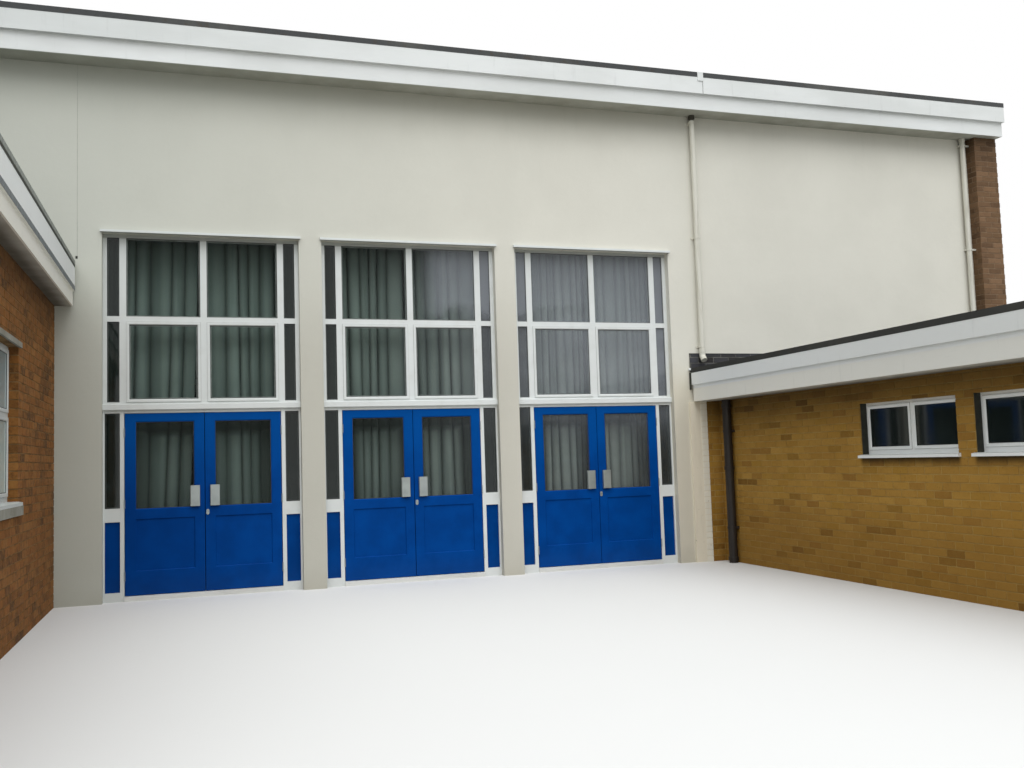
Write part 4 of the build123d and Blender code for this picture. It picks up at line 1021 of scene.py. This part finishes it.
FELT_PITCH, LAP_WIDTH, LAP_RISE, LAP_SUNK, LAP_EASE = 0.93, 0.075, 0.004, 0.001, 0.0025
END_LAPS = ((0.3, 0.8), (0.55,))
FELTED_ROOFS = {"hall_felt_laps": ((-8.80, 8.80), (-0.40, 8.42), 6.332),
                "right_wing_felt_laps": ((3.80, 8.78), (-8.42, -0.40), 2.466),
                "left_wing_felt_laps": ((-8.78, -3.82), (-8.25, -0.40), 3.668)}


def felt_laps(name, x_range, y_range, level):
    """The raised laps of felt strips that run across a roof, with end laps staggered from strip to strip."""
    (x0, x1), (y0, y1) = x_range, y_range
    foot, top = level - LAP_SUNK, level + LAP_RISE
    lap = eased(block("lap", (x0, y0, foot), (x1, y0 + LAP_WIDTH, top)), LAP_EASE, 1)
    rows = math.ceil((y1 - y0) / FELT_PITCH)
    repeat(lap, rows, (0, FELT_PITCH, 0))
    pieces = [lap]
    for row in range(rows):
        near = y0 + row * FELT_PITCH + LAP_WIDTH
        far = min(near + FELT_PITCH - LAP_WIDTH, y1)
        for share in END_LAPS[row % 2]:
            x = x0 + share * (x1 - x0)
            pieces.append(eased(block("lap", (x, near, foot), (x + LAP_WIDTH, far, top)), LAP_EASE, 1))
    fitted(join(pieces, name), "roof_felt")


def lay_felt():
    for name, (x_range, y_range, level) in FELTED_ROOFS.items():
        felt_laps(name, x_range, y_range, level)


# Each strip round a wing's roof edge: its name, fascia, foot and top, how far it stands out, slot, material

STRIPS = (
    ("left_wing_roof_trim", "left_wing_fascia", 3.655, 3.700, 0.005, "steel", TRIM_GREY),
    # painted shadow: a dark strip under the left wing's roof trim
    ("left_wing_trim_gap_shadow", "left_wing_fascia", 3.628, 3.655, 0.0025, "dark_pipe", DARK_JOINT_AND_SHADE),
    ("left_wing_fascia_band", "left_wing_fascia", 3.368, 3.422, 0.003, "steel", BAND_GREY),
    ("right_wing_felt_drip", "right_wing_fascia", 2.453, 2.468, 0.0018, "roof_felt", FINISHES["roof_felt"]),
)

COVER_LOW, COVER_HIGH, COVER_LIP, COVER_TAPER = (3.822, -0.5185, 6.300), (3.905, -0.5070, 6.398), 0.02, 0.9

# Each small piece on the hall's front: its name, two corners, how far it is eased, slot, material

SMALL_PIECES = (
    ("fascia_joint_line", (3.895, -0.5085, 6.114), (3.900, -0.5070, 6.300), 0.0004, "dark_pipe", DARK_JOINT_AND_SHADE),
    # painted shadow: the line of the movement joint in the render
    ("render_joint_shadow_strip", (-3.696, -0.1690, 3.76), (-3.692, BEHIND_RENDER, EAVES), 0.0008, "render",
     JOINT_SHADE),
    ("render_joint_stop", (-3.712, -0.1710, 3.735), (-3.690, BEHIND_RENDER, 3.765), 0.0012, "dark_pipe",
     DARK_JOINT_AND_SHADE),
    # painted shade: a dark block in the gap between the fascia's end and the wall
    ("fascia_end_gap_shade", (3.6835, -0.1990, 2.235), (3.6970, BEHIND_RENDER, 2.455), 0.001, "dark_pipe",
     DARK_JOINT_AND_SHADE),
    ("fascia_end_clip", (3.672, -0.2060, 2.488), (3.697, BEHIND_RENDER, 2.516), 0.003, "white_board", None),
)


def trim_on_three_sides(name, fascia, foot, top, out, slot, material):
    """A strip round the court side, the end and the outer side of a wing's roof edge."""
    (x0, y0, _), (x1, y1, _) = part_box(fascia)
    strips = [((x0 - out, y0 - out, foot), (x1 + out, y0, top)),
              ((x0 - out, y0, foot), (x0, y1, top)),
              ((x1, y0, foot), (x1 + out, y1, top))]
    pieces = [eased(block("strip", low, high), 0.0012) for low, high in strips]
    fitted(join(pieces, name), slot, material=material)


def roof_trims():
    """The strips, the lipped cover over the joint in the hall's fascia, and the small pieces."""
    for strip in STRIPS:
        trim_on_three_sides(*strip)
    cover = block("fascia_joint_cover", COVER_LOW, COVER_HIGH)
    pick_faces(cover, lambda face: face.normal.z < -0.5)
    bpy.ops.mesh.extrude_region_move(TRANSFORM_OT_translate={"value": (0, 0, -COVER_LIP)})
    bpy.ops.transform.resize(value=(COVER_TAPER, 1, 1))
    leave_edit_mode()
    fitted(eased(cover, 0.002), "white_board")
    for name, low, high, ease, slot, material in SMALL_PIECES:
        fitted(eased(block(name, low, high), ease), slot, material=material)


# Downpipe: the plates that its clips are screwed to

PLATE_CENTRE, PLATE_WIDTH, PLATE_HEIGHT, PLATE_FRONT = 3.861, 0.136, 0.030, -0.176
SCREW_INSET, SCREW_MIDDLE, SCREW_RADIUS, SCREW_HEAD = 0.011, -0.1765, 0.005, 0.003
CLIP_LEVELS = (2.800, 4.2505, 5.807)


def clip_plates():
    """A plate behind each clip, with a screw at each end."""
    plates = []
    for level in CLIP_LEVELS:
        low = (PLATE_CENTRE - PLATE_WIDTH / 2, PLATE_FRONT, level - PLATE_HEIGHT / 2)
        high = (PLATE_CENTRE + PLATE_WIDTH / 2, BEHIND_RENDER, level + PLATE_HEIGHT / 2)
        plates.append(eased(block("plate", low, high), 0.0015))
        for side in (-1, 1):
            place = (PLATE_CENTRE + side * (PLATE_WIDTH / 2 - SCREW_INSET), SCREW_MIDDLE, level)
            bpy.ops.mesh.primitive_cylinder_add(vertices=16, radius=SCREW_RADIUS, depth=SCREW_HEAD,
                                                location=place, rotation=(math.pi / 2, 0, 0))
            head = bpy.context.object
            bpy.ops.object.transform_apply()
            plates.append(eased(head, 0.0006, 1))
    fitted(join(plates, "downpipe_clip_plates"), "cream_pipe")


# Floor, sky and lamp

SKY_STRENGTH, SKY_COLOUR = (0.55, 1.2), (0.95, 0.975, 1.0, 1)
SUN_POWER, SUN_SPREAD, SUN_AIM = 1.8, math.radians(60), Vector((0.06, 0.72, -1.0))
FLOOR_SIZE = 400


def set_up_light():
    """An overcast sky, brighter overhead, plain white where the camera or a reflection sees it, and one
    broad lamp from high in front."""
    world = bpy.data.worlds.new("overcast")
    bpy.context.scene.world = world
    world.use_nodes = True
    tree = world.node_tree

    def add(kind, *links):
        made = tree.nodes.new("ShaderNode" + kind)
        for source, target in links:
            tree.links.new(source, made.inputs[target])
        return made

    sky, out = tree.nodes["Background"], tree.nodes["World Output"]
    direction = add("TexCoord")
    height = add("SeparateXYZ", (direction.outputs["Generated"], 0))
    level = add("MapRange", (height.outputs["Z"], 0))
    level.inputs["To Min"].default_value, level.inputs["To Max"].default_value = SKY_STRENGTH
    tree.links.new(level.outputs[0], sky.inputs["Strength"])
    sky.inputs["Color"].default_value = SKY_COLOUR
    plain = add("Background")
    plain.inputs["Color"].default_value = (1, 1, 1, 1)
    path = add("LightPath")
    seen = add("Math", (path.outputs["Is Camera Ray"], 0), (path.outputs["Is Transmission Ray"], 1))
    seen.operation = "MAXIMUM"
    both = add("Math", (seen.outputs[0], 0), (path.outputs["Is Glossy Ray"], 1))
    both.operation = "MAXIMUM"
    choose = add("MixShader", (both.outputs[0], 0), (sky.outputs[0], 1), (plain.outputs[0], 2))
    tree.links.new(choose.outputs[0], out.inputs[0])
    lamp = bpy.data.lights.new("soft_sun", "SUN")
    lamp.energy = SUN_POWER
    lamp.angle = SUN_SPREAD
    sun = bpy.data.objects.new("soft_sun", lamp)
    bpy.context.scene.collection.objects.link(sun)
    sun.rotation_euler = SUN_AIM.to_track_quat("-Z", "Y").to_euler()


def lay_floor():
    """A plain pale floor, a little darker in the light that it throws back on the walls."""
    bpy.ops.mesh.primitive_plane_add(size=FLOOR_SIZE)
    floor = named(bpy.context.object, "floor")
    f = Finish("floor")
    f.feed("Roughness", 0.95)
    bounced = f.node("LightPath").out("Is Diffuse Ray")
    pale = f.mix(f.noise(3, 3) * 0.3, shade(226, 226, 224), shade(218, 218, 216))
    f.paint(bounced, pale, shade(176, 174, 168))
    floor.data.materials.append(f.material)


set_up_camera()
finish_frame()
brick_walls()
hang_curtains()
glaze()
shade_sash_gaps()
roof_trims()
clip_plates()
lay_felt()
lay_floor()
set_up_light()
bpy.context.scene.view_settings.view_transform = "Standard"
